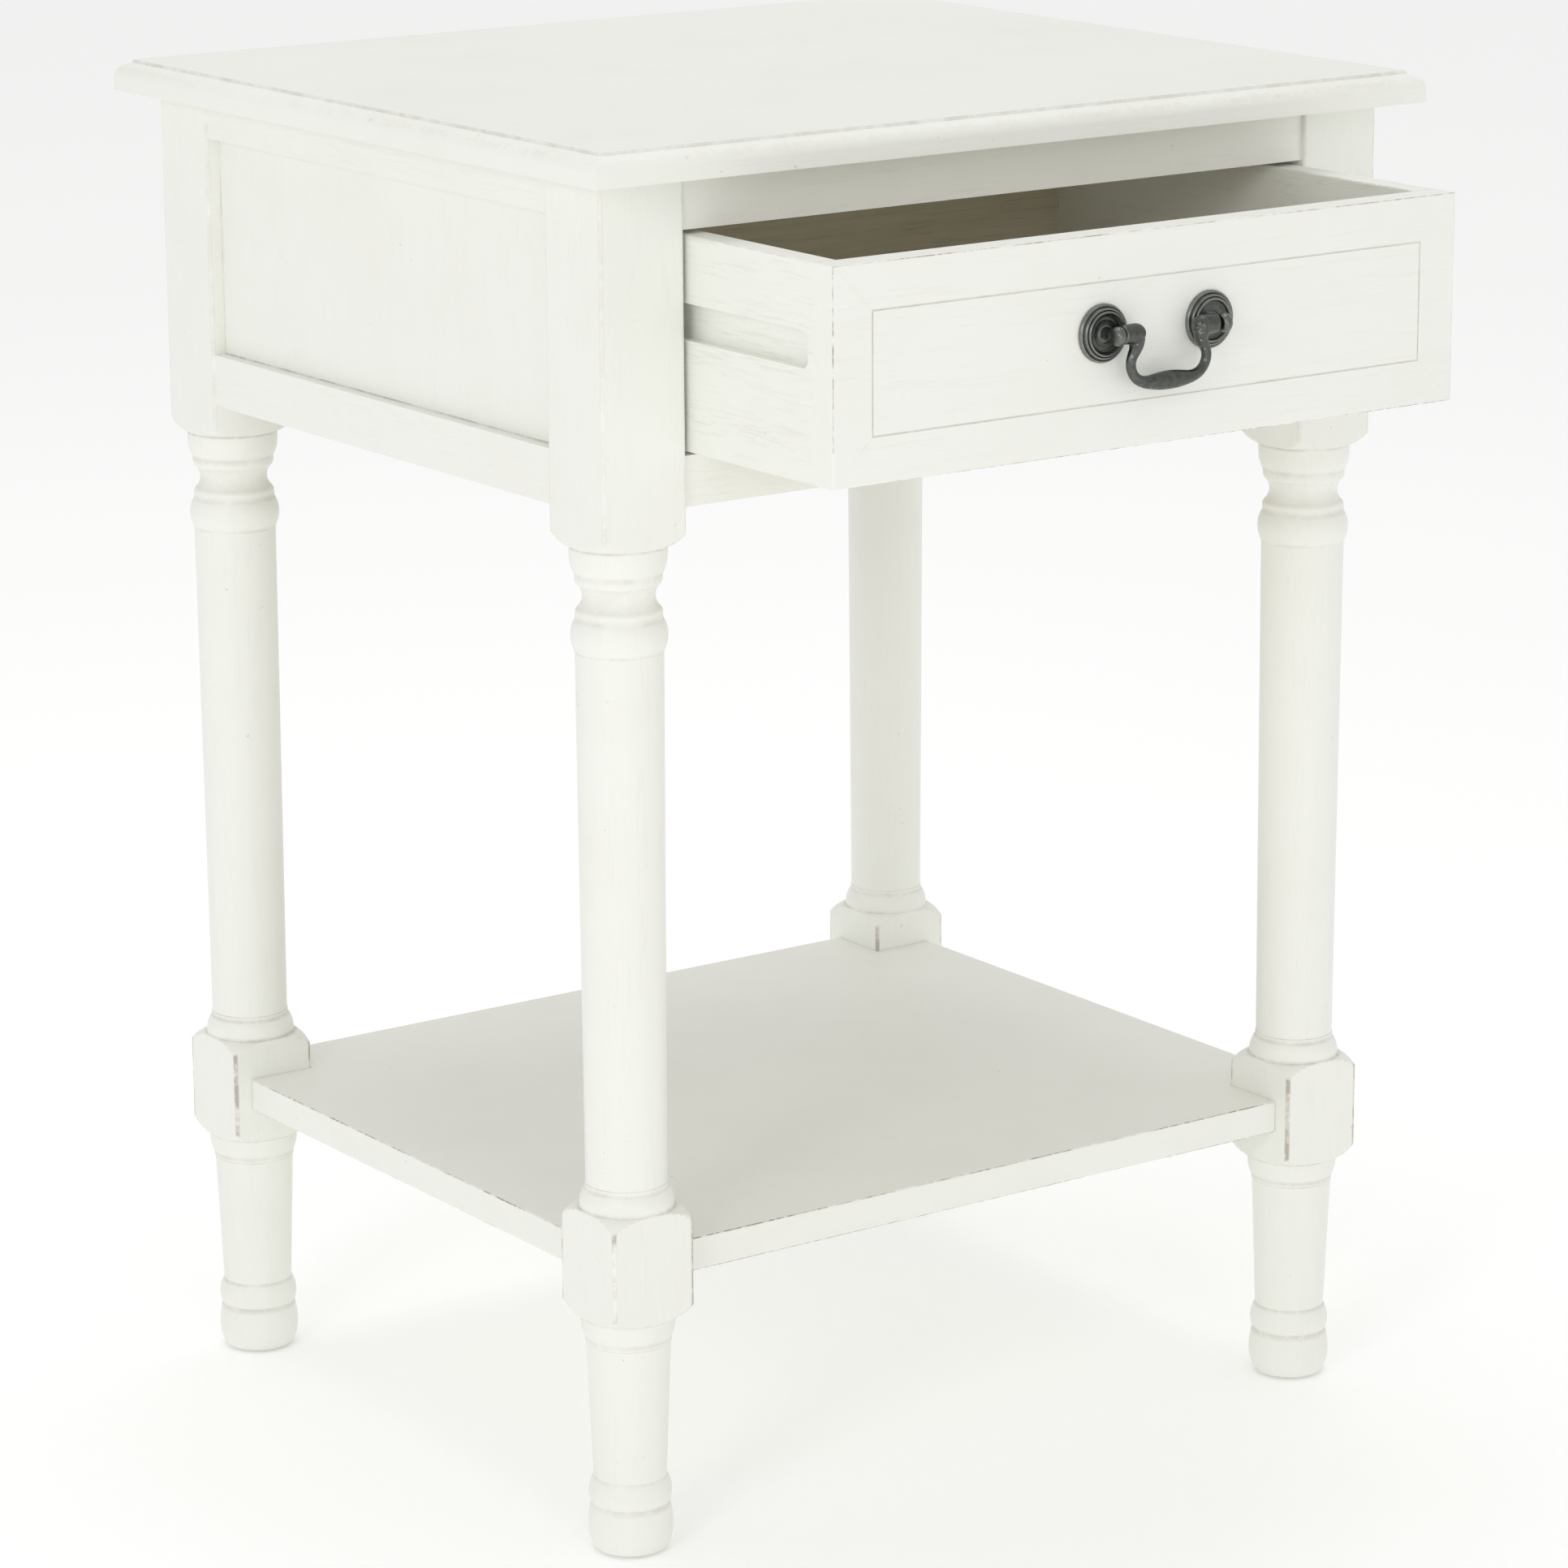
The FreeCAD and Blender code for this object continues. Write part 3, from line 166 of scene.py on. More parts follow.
paintLook = {
    "coat": colour(0.888, 0.893, 0.836),
    # darker tone for the cloudy patches and the grain, and for the painted shade in the hollows of
    # the turnings
    "smudgeAndShade": colour(0.66, 0.64, 0.56),
    "rubbed": colour(0.33, 0.27, 0.20),
    "fleck": colour(0.50, 0.38, 0.22),
    "grainFine": 880.0,
    "grainBroad": 150.0,
    "stretch": 0.06,
    "cloudScale": 13.0,
    "patchScale": 60.0,
    "turnedPatchScale": 70.0,
    "crumbScale": 330.0,
    "roughness": 0.36,
    "bumpDepth": 0.0006,
    "sheen": {"Coat_Weight": 0.12, "Coat_Roughness": 0.3},
}


def paintedWood(name, along, grain=1.0, wear=1.0, lines=None):
    look = paintLook
    finish = Finish(name)
    run = [1.0, 1.0, 1.0]
    run[along] = look["stretch"]
    lengthwise = finish.place(tuple(run))
    plain = finish.place()
    fine = finish.noise(lengthwise, look["grainFine"], 4.0, 0.65, 0.3)
    broad = finish.noise(lengthwise, look["grainBroad"], 3.0, 0.55, 0.6)
    pores = fine.ramp(0.52, 0.68) * broad.ramp(0.38, 0.6)
    cloud = finish.noise(plain, look["cloudScale"], 3.0, 0.6)
    patches = finish.noise(plain, look["patchScale"], 4.0, 0.7)
    crumbs = finish.noise(plain, look["crumbScale"], 2.0, 0.5)
    # eased edges face between the axes, and that is where hands rub the paint thin
    normal = finish.add("ShaderNodeNewGeometry", out="True Normal")
    nx, ny, nz = finish.split(normal)
    edge = 1.0 - abs(nx).most(abs(ny)).most(abs(nz))
    rubbed = edge.ramp(0.03, 0.2) * (patches * 0.6 + cloud * 0.5).ramp(0.47, 0.62)
    rubbed = rubbed * crumbs.ramp(0.3, 0.55) * wear
    if lines:
        rubbed = rubbed.most(lines(finish) * (0.15 + patches.ramp(0.42, 0.6) * 0.5))
    fleck = crumbs.ramp(0.735, 0.76) * patches.ramp(0.52, 0.6)
    paint = finish.blend(cloud.ramp(0.45, 0.8) * 0.10, look["coat"], look["smudgeAndShade"])
    paint = finish.blend(pores * 0.22 * grain, paint, look["smudgeAndShade"])
    paint = finish.blend(rubbed * 0.75, paint, look["rubbed"])
    paint = finish.blend(fleck * 0.5, paint, look["fleck"])
    height = 1.0 - pores * 0.9 * grain + fine * 0.25 * grain - rubbed * 0.8 + patches * 0.2
    finish.set(
        Base_Color=paint,
        Roughness=look["roughness"] + patches * 0.16 + rubbed * 0.25,
        Normal=finish.bump(height, 0.22, look["bumpDepth"]),
    )
    finish.set(**look["sheen"])
    return finish.material


def turnedPaint(name):
    # paint on the turnings: grain up the leg, thin lines of wear round the beads and quirks, and
    # painted shade in the hollows
    look = paintLook
    finish = Finish(name)
    upward = finish.place((1.0, 1.0, look["stretch"]))
    plain = finish.place()
    fine = finish.noise(upward, look["grainFine"], 4.0, 0.6, 0.3)
    broad = finish.noise(upward, look["grainBroad"], 3.0, 0.55, 0.6)
    pores = fine.ramp(0.52, 0.68) * broad.ramp(0.38, 0.6)
    cloud = finish.noise(plain, look["cloudScale"], 3.0, 0.6)
    patches = finish.noise(plain, look["turnedPatchScale"], 4.0, 0.7)
    crumbs = finish.noise(plain, look["crumbScale"], 2.0, 0.5)
    groove = finish.add("ShaderNodeAttribute", {"attribute_name": "hollow"}, None, "Fac")
    arris = finish.add("ShaderNodeAttribute", {"attribute_name": "arris"}, None, "Fac")
    lines = (groove * 0.5).most(arris) * (patches * 0.6 + cloud * 0.5).ramp(0.44, 0.6)
    rubbed = (lines * crumbs.ramp(0.2, 0.45)).least(1.0)
    fleck = crumbs.ramp(0.735, 0.76) * patches.ramp(0.52, 0.6)
    paint = finish.blend(cloud.ramp(0.45, 0.8) * 0.10, look["coat"], look["smudgeAndShade"])
    # painted shade: the coat darkens in step with how hollow each ring is
    paint = finish.blend(groove.ramp(0.1, 1.0) * 0.2, paint, look["smudgeAndShade"])
    paint = finish.blend(pores * 0.10, paint, look["smudgeAndShade"])
    paint = finish.blend(rubbed * 0.7, paint, look["rubbed"])
    paint = finish.blend(fleck * 0.5, paint, look["fleck"])
    height = 1.0 - pores * 0.7 + fine * 0.2 - rubbed * 0.7 + patches * 0.2
    finish.set(
        Base_Color=paint,
        Roughness=look["roughness"] + patches * 0.16 + rubbed * 0.25,
        Normal=finish.bump(height, 0.18, look["bumpDepth"]),
    )
    finish.set(**look["sheen"])
    return finish.material


bareLook = {
    "stretch": 0.05,
    "ringScale": 60.0,
    "fineScale": 520.0,
    "light": colour(0.80, 0.75, 0.62),
    "dark": colour(0.66, 0.60, 0.47),
    "pore": colour(0.42, 0.36, 0.27),
}


def bareWood(name, along):
    look = bareLook
    finish = Finish(name)
    run = [1.0, 1.0, 1.0]
    run[along] = look["stretch"]
    lengthwise = finish.place(tuple(run))
    rings = finish.noise(lengthwise, look["ringScale"], 4.0, 0.6, 1.2)
    fine = finish.noise(lengthwise, look["fineScale"], 3.0, 0.6, 0.2)
    wood = finish.blend(rings.ramp(0.35, 0.68), look["light"], look["dark"])
    wood = finish.blend(fine.ramp(0.58, 0.7) * 0.5, wood, look["pore"])
    finish.set(
        Base_Color=wood,
        Roughness=0.62 + fine * 0.2,
        Normal=finish.bump(1.0 - fine.ramp(0.5, 0.75), 0.25, 0.0005),
    )
    return finish.material


pewterLook = {
    "deep": colour(0.070, 0.076, 0.068),
    "body": colour(0.125, 0.132, 0.120),
    # painted highlight tone, laid on the crests and rims of the pull
    "paintedHighlight": colour(0.46, 0.47, 0.44),
}


def pewter(name):
    look = pewterLook
    finish = Finish(name)
    plain = finish.place()
    mottle = finish.noise(plain, 420.0, 4.0, 0.65)
    broad = finish.noise(plain, 120.0, 3.0, 0.6)
    brush = finish.noise(finish.place((1.0, 0.15, 0.15)), 1500.0, 2.0, 0.5)
    # painted highlight: the crests and rims are lightened as if they caught the lamps
    high = finish.add("ShaderNodeNewGeometry", out="Pointiness").ramp(0.503, 0.56)
    metal = finish.blend(mottle.ramp(0.35, 0.7), look["deep"], look["body"])
    metal = finish.blend(broad.ramp(0.4, 0.75) * 0.35, metal, look["body"])
    metal = finish.blend(high * (0.4 + brush * 0.5) * 0.7, metal, look["paintedHighlight"])
    finish.set(
        Base_Color=metal,
        Roughness=0.26 + mottle * 0.14 - high * 0.06,
        Normal=finish.bump(mottle * 0.6 + brush * 0.4, 0.10, 0.0002),
    )
    finish.set(Metallic=0.95)
    return finish.material


def zincSteel(name):
    finish = Finish(name)
    cloud = finish.noise(finish.place(), 600.0, 3.0, 0.6)
    metal = finish.blend(cloud.ramp(0.3, 0.7), colour(0.48, 0.48, 0.46), colour(0.66, 0.66, 0.63))
    finish.set(Base_Color=metal, Roughness=0.3 + cloud * 0.15)
    finish.set(Metallic=1.0)
    return finish.material


def whiteNylon(name):
    finish = Finish(name)
    cloud = finish.noise(finish.place(), 300.0, 3.0, 0.6)
    white = finish.blend(cloud * 0.4, colour(0.8, 0.8, 0.77), colour(0.68, 0.67, 0.63))
    finish.set(Base_Color=white, Roughness=0.42 + cloud * 0.1)
    finish.set(Normal=finish.bump(cloud, 0.08, 0.0003))
    return finish.material


frontLow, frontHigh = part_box("drawer_front")
face = frontLow.y
seamLook = {
    "scribeFloor": 0.25 * mm,
    "scribeDepth": 1.5 * mm,
    "scribeInset": 14 * mm,
    "mitreLine": 0.35 * mm,
    "border": 20 * mm,
    "topStep": 6.75 * mm,
    "topLine": 0.4 * mm,
    "panelLine": 0.7 * mm,
    "panelTongue": 4 * mm,
}


def scribeLine(finish):
    # the floor of the line scribed round the drawer front, clear of the board's eased edges
    x, y, z = finish.split(finish.place())
    inset = seamLook["scribeInset"]
    low, high = frontLow, frontHigh
    inside = x.maths("LESS_THAN", abs(x), high.x - inset)
    middle, reach = (low.z + high.z) / 2, (high.z - low.z) / 2 - inset
    inside = inside * x.maths("LESS_THAN", abs(z - middle), reach)
    sunk = y.maths("GREATER_THAN", y, face + seamLook["scribeFloor"])
    scribe = inside * sunk * y.maths("LESS_THAN", y, face + seamLook["scribeDepth"]) * 0.32
    # the frame's corners are mitred outside the scribed line
    fromEnd, fromEdge = high.x - abs(x), (high.z - low.z) / 2 - abs(z - middle)
    mitre = x.maths("LESS_THAN", abs(fromEnd - fromEdge), seamLook["mitreLine"])
    mitre = mitre * x.maths("LESS_THAN", fromEdge, seamLook["border"])
    return scribe.most(mitre * 0.13)


def panelLines(side):
    # a thin rubbed line where the panel meets the frame round it
    def lines(finish):
        x, y, z = finish.split(finish.place())
        low, high = Vector(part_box(f"{side}_panel")[0]), Vector(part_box(f"{side}_panel")[1])
        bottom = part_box(f"{side}_bottom_rail")[1].z
        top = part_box(f"{side}_top_rail")[0].z
        wide = seamLook["panelLine"]
        near = x.maths("LESS_THAN", abs(z - bottom), wide)
        near = near.most(x.maths("LESS_THAN", abs(z - top), wide) * 0.3)
        tongue = seamLook["panelTongue"]  # what the grooves in the frame hide
        front, back = low.y + tongue, high.y - tongue
        ends = x.maths("LESS_THAN", abs(y - (front + back) / 2), (back - front) / 2 - wide)
        return near.most((1.0 - ends) * 0.6)
    return lines


def topEdgeLine(finish):
    # the small step where the moulding meets the flat of the top
    x, y, _ = finish.split(finish.place())
    low, high = Vector(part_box("top_panel")[0]), Vector(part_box("top_panel")[1])
    middle = (low.y + high.y) / 2
    out = (abs(x) - high.x).most(abs(y - middle) - (high.y - middle))
    return x.maths("LESS_THAN", abs(out + seamLook["topStep"]), seamLook["topLine"]) * 0.5


paintAlong = [
    paintedWood(f"paintedWood{axis}", index, 0.55, 0.45) for index, axis in enumerate("XYZ")
]
topPaint = paintedWood("paintedTop", 0, 0.3, 0.12, topEdgeLine)
sidePaint = paintedWood("paintedDrawerSide", 1, 1.6, 0.6)
shelfPaint = paintedWood("paintedShelf", 0, 0.35, 1.5)
frontPaint = paintedWood("paintedDrawerFront", 0, 0.5, 1.3, scribeLine)
panelPaint = {
    side: paintedWood(f"painted{side.title()}Panel", 2, 0.5, 0.0, panelLines(side))
    for side in ("left", "right")
}
legPaint = turnedPaint("paintedTurning")
bareAlong = [bareWood(f"bareWood{axis}", index) for index, axis in enumerate("XYZ")]
pullMetal = pewter("darkPewter")
slotFinish = {"zinc_steel": zincSteel("zincSteel"), "nylon": whiteNylon("whiteNylon")}
slotFinish["dark_pewter"] = pullMetal
print("finishes made")


# carried-over boards: the grain runs along each board's longest side

ownFinish = {
    "drawer_side_left": sidePaint,
    "drawer_side_right": sidePaint,
    "drawer_front": frontPaint,
    "shelf": shelfPaint,
    "top_panel": topPaint,
    "left_panel": panelPaint["left"],
    "right_panel": panelPaint["right"],
}


def longestAxis(node):
    low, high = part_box(node)
    size = high - low
    return max(range(3), key=lambda axis: size[axis])


def wear(obj, material):
    obj.data.materials.clear()
    obj.data.materials.append(material)


for row in frame["record"]["subparts"]:
    node, slot = row["node"], row["material_slot"]
    if slot == "painted_wood":
        finish = ownFinish.get(node) or paintAlong[longestAxis(node)]
    elif slot == "bare_wood":
        finish = bareAlong[longestAxis(node)]
    else:
        finish = slotFinish[slot]
    wear(nodes[node], finish)
print("boards finished")


# turnings: a spine whose points carry a radius, swept round and cut to a square where asked

def turningTree():
    tree = bpy.data.node_groups.new("turning", "GeometryNodeTree")
    sockets = (
        ("Spine", "Geometry"), ("Segments", "Int"), ("Square Half", "Float"), ("Facing", "Vector"),
        ("Columns", "Int"), ("Column Gap", "Float"), ("Rows", "Int"), ("Row Gap", "Float"),
        ("Finish", "Material"),
    )
    for name, kind in sockets:
        tree.interface.new_socket(name, in_out="INPUT", socket_type="NodeSocket" + kind)
    tree.interface.new_socket("Turnings", in_out="OUTPUT", socket_type="NodeSocketGeometry")
    graph = Graph(tree)
    source = tree.nodes.new("NodeGroupInput")
    asked = {name: Signal(graph, source.outputs[name]) for name, _ in sockets}

    radius = graph.add(
        "GeometryNodeInputNamedAttribute", {"data_type": "FLOAT"}, {"Name": "turned"}, "Attribute"
    )
    spine = graph.add("GeometryNodeMeshToCurve", None, {0: asked["Spine"]})
    spine = graph.add("GeometryNodeSetCurveRadius", None, {"Curve": spine, "Radius": radius})
    ring = graph.add(
        "GeometryNodeCurvePrimitiveCircle", None, {"Resolution": asked["Segments"], "Radius": 1.0}
    )
    # the ring's points crowd towards the four corners, so a square's corner stays crisp
    x, y, _ = graph.split(graph.add("GeometryNodeInputPosition"))
    angle = x.maths("ARCTAN2", y, x)
    quarter = math.pi / 2
    corner = x.maths("FLOORED_MODULO", angle, quarter) - quarter / 2
    bent = corner * (0.35 + 0.65 * (corner / (quarter / 2)) ** 2.0)
    angle = angle - corner + bent
    around = {0: angle.maths("COSINE", angle), 1: angle.maths("SINE", angle)}
    spot = graph.add("ShaderNodeCombineXYZ", None, around)
    ring = graph.add("GeometryNodeSetPosition", None, {"Geometry": ring, "Position": spot})
    sweep = tree.nodes.new("GeometryNodeCurveToMesh")
    graph.feed(sweep.inputs["Curve"], spine)
    graph.feed(sweep.inputs["Profile Curve"], ring)
    graph.feed(sweep.inputs["Fill Caps"], True)
    if "Scale" in sweep.inputs:
        graph.feed(sweep.inputs["Scale"], radius)
    solid = Signal(graph, sweep.outputs[0])
    x, y, _ = graph.split(graph.add("GeometryNodeInputPosition"))
    z = graph.add(
        "GeometryNodeInputNamedAttribute", {"data_type": "FLOAT"}, {"Name": "rise"}, "Attribute"
    )
    shrink = (asked["Square Half"] / abs(x).most(abs(y)).most(1e-6)).least(1.0)
    spot = graph.add("ShaderNodeCombineXYZ", None, {0: x * shrink, 1: y * shrink, 2: z})
    solid = graph.add("GeometryNodeSetPosition", None, {"Geometry": solid, "Position": spot})

    def row(count, gap, axis):
        step = graph.add("ShaderNodeCombineXYZ", None, {axis: asked[gap]})
        half = asked[gap] * (asked[count] - 1.0) * -0.5
        start = graph.add("ShaderNodeCombineXYZ", None, {axis: half})
        values = {"Count": asked[count], "Start Location": start, "Offset": step}
        return graph.add("GeometryNodeMeshLine", None, values)

    rows = graph.add(
        "GeometryNodeInstanceOnPoints", None,
        {"Points": row("Rows", "Row Gap", 1), "Instance": row("Columns", "Column Gap", 0)},
    )
    spots = graph.add("GeometryNodeRealizeInstances", None, {0: rows})
    turn = graph.add("FunctionNodeEulerToRotation", None, {0: asked["Facing"]})
    copies = graph.add(
        "GeometryNodeInstanceOnPoints", None, {"Points": spots, "Instance": solid, "Rotation": turn}
    )
    joined = graph.add("GeometryNodeRealizeInstances", None, {0: copies})
    values = {"Geometry": joined, "Material": asked["Finish"]}
    done = graph.add("GeometryNodeSetMaterial", None, values)
    graph.feed(tree.nodes.new("NodeGroupOutput").inputs[0], done)
    return tree


turning = turningTree()


def arcPoints(start, end, radius):
    # points after start up to end on an arc that bulges outwards, or inwards when radius < 0
    if radius is None:
        return [end]
    (r0, z0), (r1, z1) = start, end
    chord = math.hypot(r1 - r0, z1 - z0)
    reach = math.copysign(math.sqrt(max(radius ** 2 - chord ** 2 / 4, 0)), radius)
    outR, outZ = (z1 - z0) / chord, -(r1 - r0) / chord
    midR, midZ = (r0 + r1) / 2 - outR * reach, (z0 + z1) / 2 - outZ * reach
    first = math.atan2(z0 - midZ, r0 - midR)
    last = math.atan2(z1 - midZ, r1 - midR)
    sweep = (last - first + math.pi) % (2 * math.pi) - math.pi
    steps = max(4, math.ceil(abs(sweep) / math.radians(9)))
    size = abs(radius)
    turns = [first + sweep * step / steps for step in range(1, steps)]
    return [(midR + size * math.cos(a), midZ + size * math.sin(a)) for a in turns] + [end]


def outline(stations):
    # stations are (height, radius, arc) from the bottom up; long straight runs get end rings
    points = [(stations[0][1], stations[0][0])]
    for height, radius, arc in stations[1:]:
        start, end = points[-1], (radius, height)
        run = math.hypot(end[0] - start[0], end[1] - start[1])
        if arc is None and run > 3:
            for share in (0.4 / run, 1 - 0.4 / run):
                points.append(tuple(a + (b - a) * share for a, b in zip(start, end)))
        points += arcPoints(start, end, arc)
    return points


def turnedPieces(name, profile, settings, move):
    mesh = bpy.data.meshes.new(name + "Spine")
    count = len(profile)
    # the spine always climbs; the true height of each ring goes in with its radius
    rise = [(0, 0, step * mm) for step in range(count)]
    mesh.from_pydata(rise, [(step, step + 1) for step in range(count - 1)], [])
    for label, column in (("turned", 0), ("rise", 1)):
        mesh.attributes.new(label, "FLOAT", "POINT")
        mesh.attributes[label].data.foreach_set("value", [row[column] * mm for row in profile])
    spine = bpy.data.objects.new(name + "Spine", mesh)
    bpy.context.scene.collection.objects.link(spine)
    modifier = spine.modifiers.new("turning", "NODES")
    modifier.node_group = turning
    chosen = {"Segments": 96, "Square Half": 1.0, "Facing": (0.0, 0.0, 0.0), "Columns": 1}
    chosen.update({"Column Gap": 0.0, "Rows": 1, "Row Gap": 0.0, "Finish": pullMetal})
    chosen.update(settings)
    for socket in turning.interface.items_tree:
        if socket.in_out == "INPUT" and socket.name in chosen:
            modifier[socket.identifier] = chosen[socket.name]
    graph = bpy.context.evaluated_depsgraph_get()
    result = bpy.data.meshes.new_from_object(spine.evaluated_get(graph))
    bpy.data.objects.remove(spine)
    result.name = name
    result.transform(Matrix.Translation(move))
    return result


def settle(name, mesh, sharp=32):
    # merged, facing outwards, smooth up to the given angle, and in the scene
    shape = bmesh.new()
    shape.from_mesh(mesh)
    bmesh.ops.remove_doubles(shape, verts=shape.verts, dist=1e-7)
    bmesh.ops.recalc_face_normals(shape, faces=shape.faces)
    shape.to_mesh(mesh)
    shape.free()
    mesh.shade_smooth()
    mesh.set_sharp_from_angle(angle=math.radians(sharp))
    piece = bpy.data.objects.new(name, mesh)
    bpy.context.scene.collection.objects.link(piece)
    return piece


# legs

legShape = {
    "blockHalf": 21.5,
    "blockCorner": 29.9,
    "wornBelow": 200,
    "arrisWide": 0.6,
    "shoulderWide": 0.7,
    "lowWear": 1.1,
    "highWear": 0.2,
    "fullHollow": 45,
    # height, radius, arc that arrives there
    "stations": [
        (1.5, 16.6, None), (11, 19.4, 20), (22.8, 17.8, 44), (28, 18.9, 13), (35.6, 16.6, 14),
        (99.6, 19.1, None), (99.9, 19.5, None), (101.8, 19.5, None), (108.6, 21.3, 14),
        (111.8, 21.35, None), (119.4, 31, 14), (155.9, 31, None), (163.2, 21.35, 14),
        (164.8, 21.3, None), (172.4, 18.6, 12.5), (174.2, 18.6, None), (174.5, 18.3, None),
        (416.6, 19.5, None), (424, 21.4, 15.2), (431.3, 19.3, 13.9), (433.9, 19.2, None),
        (436.3, 18.1, 2.7), (446.7, 18.1, -7.5), (448.8, 19.2, 2.5), (451.3, 19.3, None),
        (458.6, 21.4, 13.9), (463.8, 21.35, 25), (470.6, 31, 15), (625.5, 31, None),
    ],
}


def legMarks(mesh, profile, shape):
    # how hollow each ring is, for painted shade and lines of wear in the hollows, and how near each
    # point is to a block's arris, for the wear
    depth = {}
    for index in range(1, len(profile) - 1):
        (r0, z0), (r1, z1), (r2, z2) = profile[index - 1:index + 2]
        turn = math.atan2(r2 - r1, z2 - z1) - math.atan2(r1 - r0, z1 - z0)
        depth[round(z1, 2)] = min(max(turn / math.radians(shape["fullHollow"]), 0), 1)
    half = shape["blockHalf"] * mm
    hollows, arrises = [], []
    for vertex in mesh.vertices:
        x = abs(vertex.co.x) - legX
        y = abs(vertex.co.y - shift) - legY
        far = math.hypot(x, y)
        square = min(abs(x), abs(y)) > half - shape["arrisWide"] * mm
        shoulder = abs(far / mm - shape["blockCorner"]) < shape["shoulderWide"]
        shoulder = shoulder and max(abs(x), abs(y)) > half - 1e-5
        low = vertex.co.z < shape["wornBelow"] * mm
        strength = shape["lowWear"] if low else shape["highWear"]
        arrises.append(strength if square or shoulder else 0.0)
        hollows.append(depth.get(round(vertex.co.z / mm, 2), 0.0))
    for name, values in (("hollow", hollows), ("arris", arrises)):
        mesh.attributes.new(name, "FLOAT", "POINT")
        mesh.attributes[name].data.foreach_set("value", values)


legLow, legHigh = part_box("leg_front_right")
farLow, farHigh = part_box("leg_back_right")
legX = (legLow.x + legHigh.x) / 2
shift = (legLow.y + farHigh.y) / 2
legY = (farLow.y + farHigh.y) / 2 - shift


def makeLegs(shape):
    profile = [(min(r, shape["blockCorner"]), z) for r, z in outline(shape["stations"])]
    settings = {
        "Square Half": shape["blockHalf"] * mm, "Columns": 2, "Column Gap": 2 * legX,
        "Rows": 2, "Row Gap": 2 * legY, "Finish": legPaint,
    }
    mesh = turnedPieces("turnedLegs", profile, settings, (0, shift, 0))
    legMarks(mesh, profile, shape)
    legs = settle("turnedLegs", mesh, 26)
    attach(legs, "frame")
    ends, sides = ("front", "back"), ("left", "right")
    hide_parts(*(f"leg_{end}_{side}" for end in ends for side in sides))


makeLegs(legShape)
print("legs turned")


# pull: rosettes, stems and flat heads are turned, and the bail is a swelling bar

postLow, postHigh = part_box("pull_post_right")
pullX = (postLow.x + postHigh.x) / 2
pullZ = (postLow.z + postHigh.z) / 2

pullShape = {
    # out from the drawer front, radius
    "rosette": [
        (0, 12.85), (1.2, 12.85), (1.75, 12.6), (2.05, 12.2), (2.05, 11.85), (1.9, 11.6),
        (2.3, 11.42), (2.85, 11.2), (3.3, 10.9), (3.45, 10.6), (3.35, 10.3), (3.1, 10.1),
        (3.5, 9.98), (3.95, 9.8), (4.3, 9.55), (4.38, 9.3), (4.3, 9.0), (4.0, 8.7), (3.3, 8.45),
        (2.75, 8.25), (2.5, 7.8), (2.42, 6.9), (2.47, 6.6), (2.52, 6.3), (2.45, 6.0), (2.4, 5.7),
        (2.4, 4.4), (2.45, 4.1), (2.75, 3.85), (2.95, 3.6), (3.05, 3.3), (3.1, 2.9), (3.1, 2.2),
    ],
    "stem": [(2.4, 2.2), (6.4, 2.2), (7.2, 2.35), (8.2, 2.7)],
    # along the pivot, radius
    "head": [
        (-2.3, 2.6), (-2.2, 3.0), (-1.9, 3.5), (-1.5, 3.85), (-0.8, 4.12), (0, 4.2), (0.8, 4.12),
        (1.5, 3.85), (1.9, 3.5), (2.2, 3.0), (2.3, 2.6),
    ],
    "headOut": 11.0,
    "pivotOut": 9.4,
    "sharp": 50,
}


def makePosts(shape):
    gap = {"Columns": 2, "Column Gap": 2 * pullX}
    front = dict(gap, Facing=(math.pi / 2, 0.0, 0.0))
    middle = (0, face, pullZ)
    rosettes = turnedPieces(
        "pullRosettes", [(r, z) for z, r in shape["rosette"]], dict(front, Segments=144), middle
    )
    piece = settle("pullRosettes", rosettes, shape["sharp"])
    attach(piece, "drawer")
    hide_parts("rosette_left", "rosette_right")
    stems = turnedPieces("stems", [(r, z) for z, r in shape["stem"]], front, middle)
    heads = turnedPieces(
        "heads", [(r, z) for z, r in shape["head"]], dict(gap, Facing=(0.0, math.pi / 2, 0.0)),
        (0, face - shape["headOut"] * mm, pullZ),
    )
    joined = bmesh.new()
    joined.from_mesh(stems)
    joined.from_mesh(heads)
    joined.to_mesh(heads)
    joined.free()
    piece = settle("pullPosts", heads, shape["sharp"])
    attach(piece, "drawer")
    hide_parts("pull_post_left", "pull_post_right")


bailShape = {
    # out from the middle, drop below the pivots, half height, half thickness
    "line": [
        (0, 22, 4.15, 2.7), (4, 22.05, 4, 2.7), (8, 22.05, 3.5, 2.6), (11.6, 21.9, 2.95, 2.5),
        (14.8, 21.2, 2.55, 2.4), (17.4, 19.9, 2.35, 2.3), (19.5, 17.7, 2.25, 2.2),
        (20.7, 14.9, 2.25, 2.2), (20.8, 12.2, 2.25, 2.2), (19.9, 9.6, 2.4, 2.35),
        (18.6, 7.3, 2.75, 2.65), (17.9, 5, 3.3, 3.2), (17.9, 2.6, 3.9, 3.8),
    ],
    "between": 6,
    "around": 40,
    # knuckle turned about the pivot: distance out, radius
    "knuckle": [
        (13.9, 0.6), (14.3, 1.9), (15.2, 3.2), (16.6, 4.1), (18.2, 4.45), (20, 4.45), (22.5, 4.35),
        (25.4, 4.2), (25.95, 3.9), (26.2, 3.2),
    ],
    # pin: radius, where it starts and ends out from the middle, and its end's bevel
    "pin": (1.5, 23.5, 30.0, 0.3),
    "voxel": 0.26,
    "rounds": 6,
}


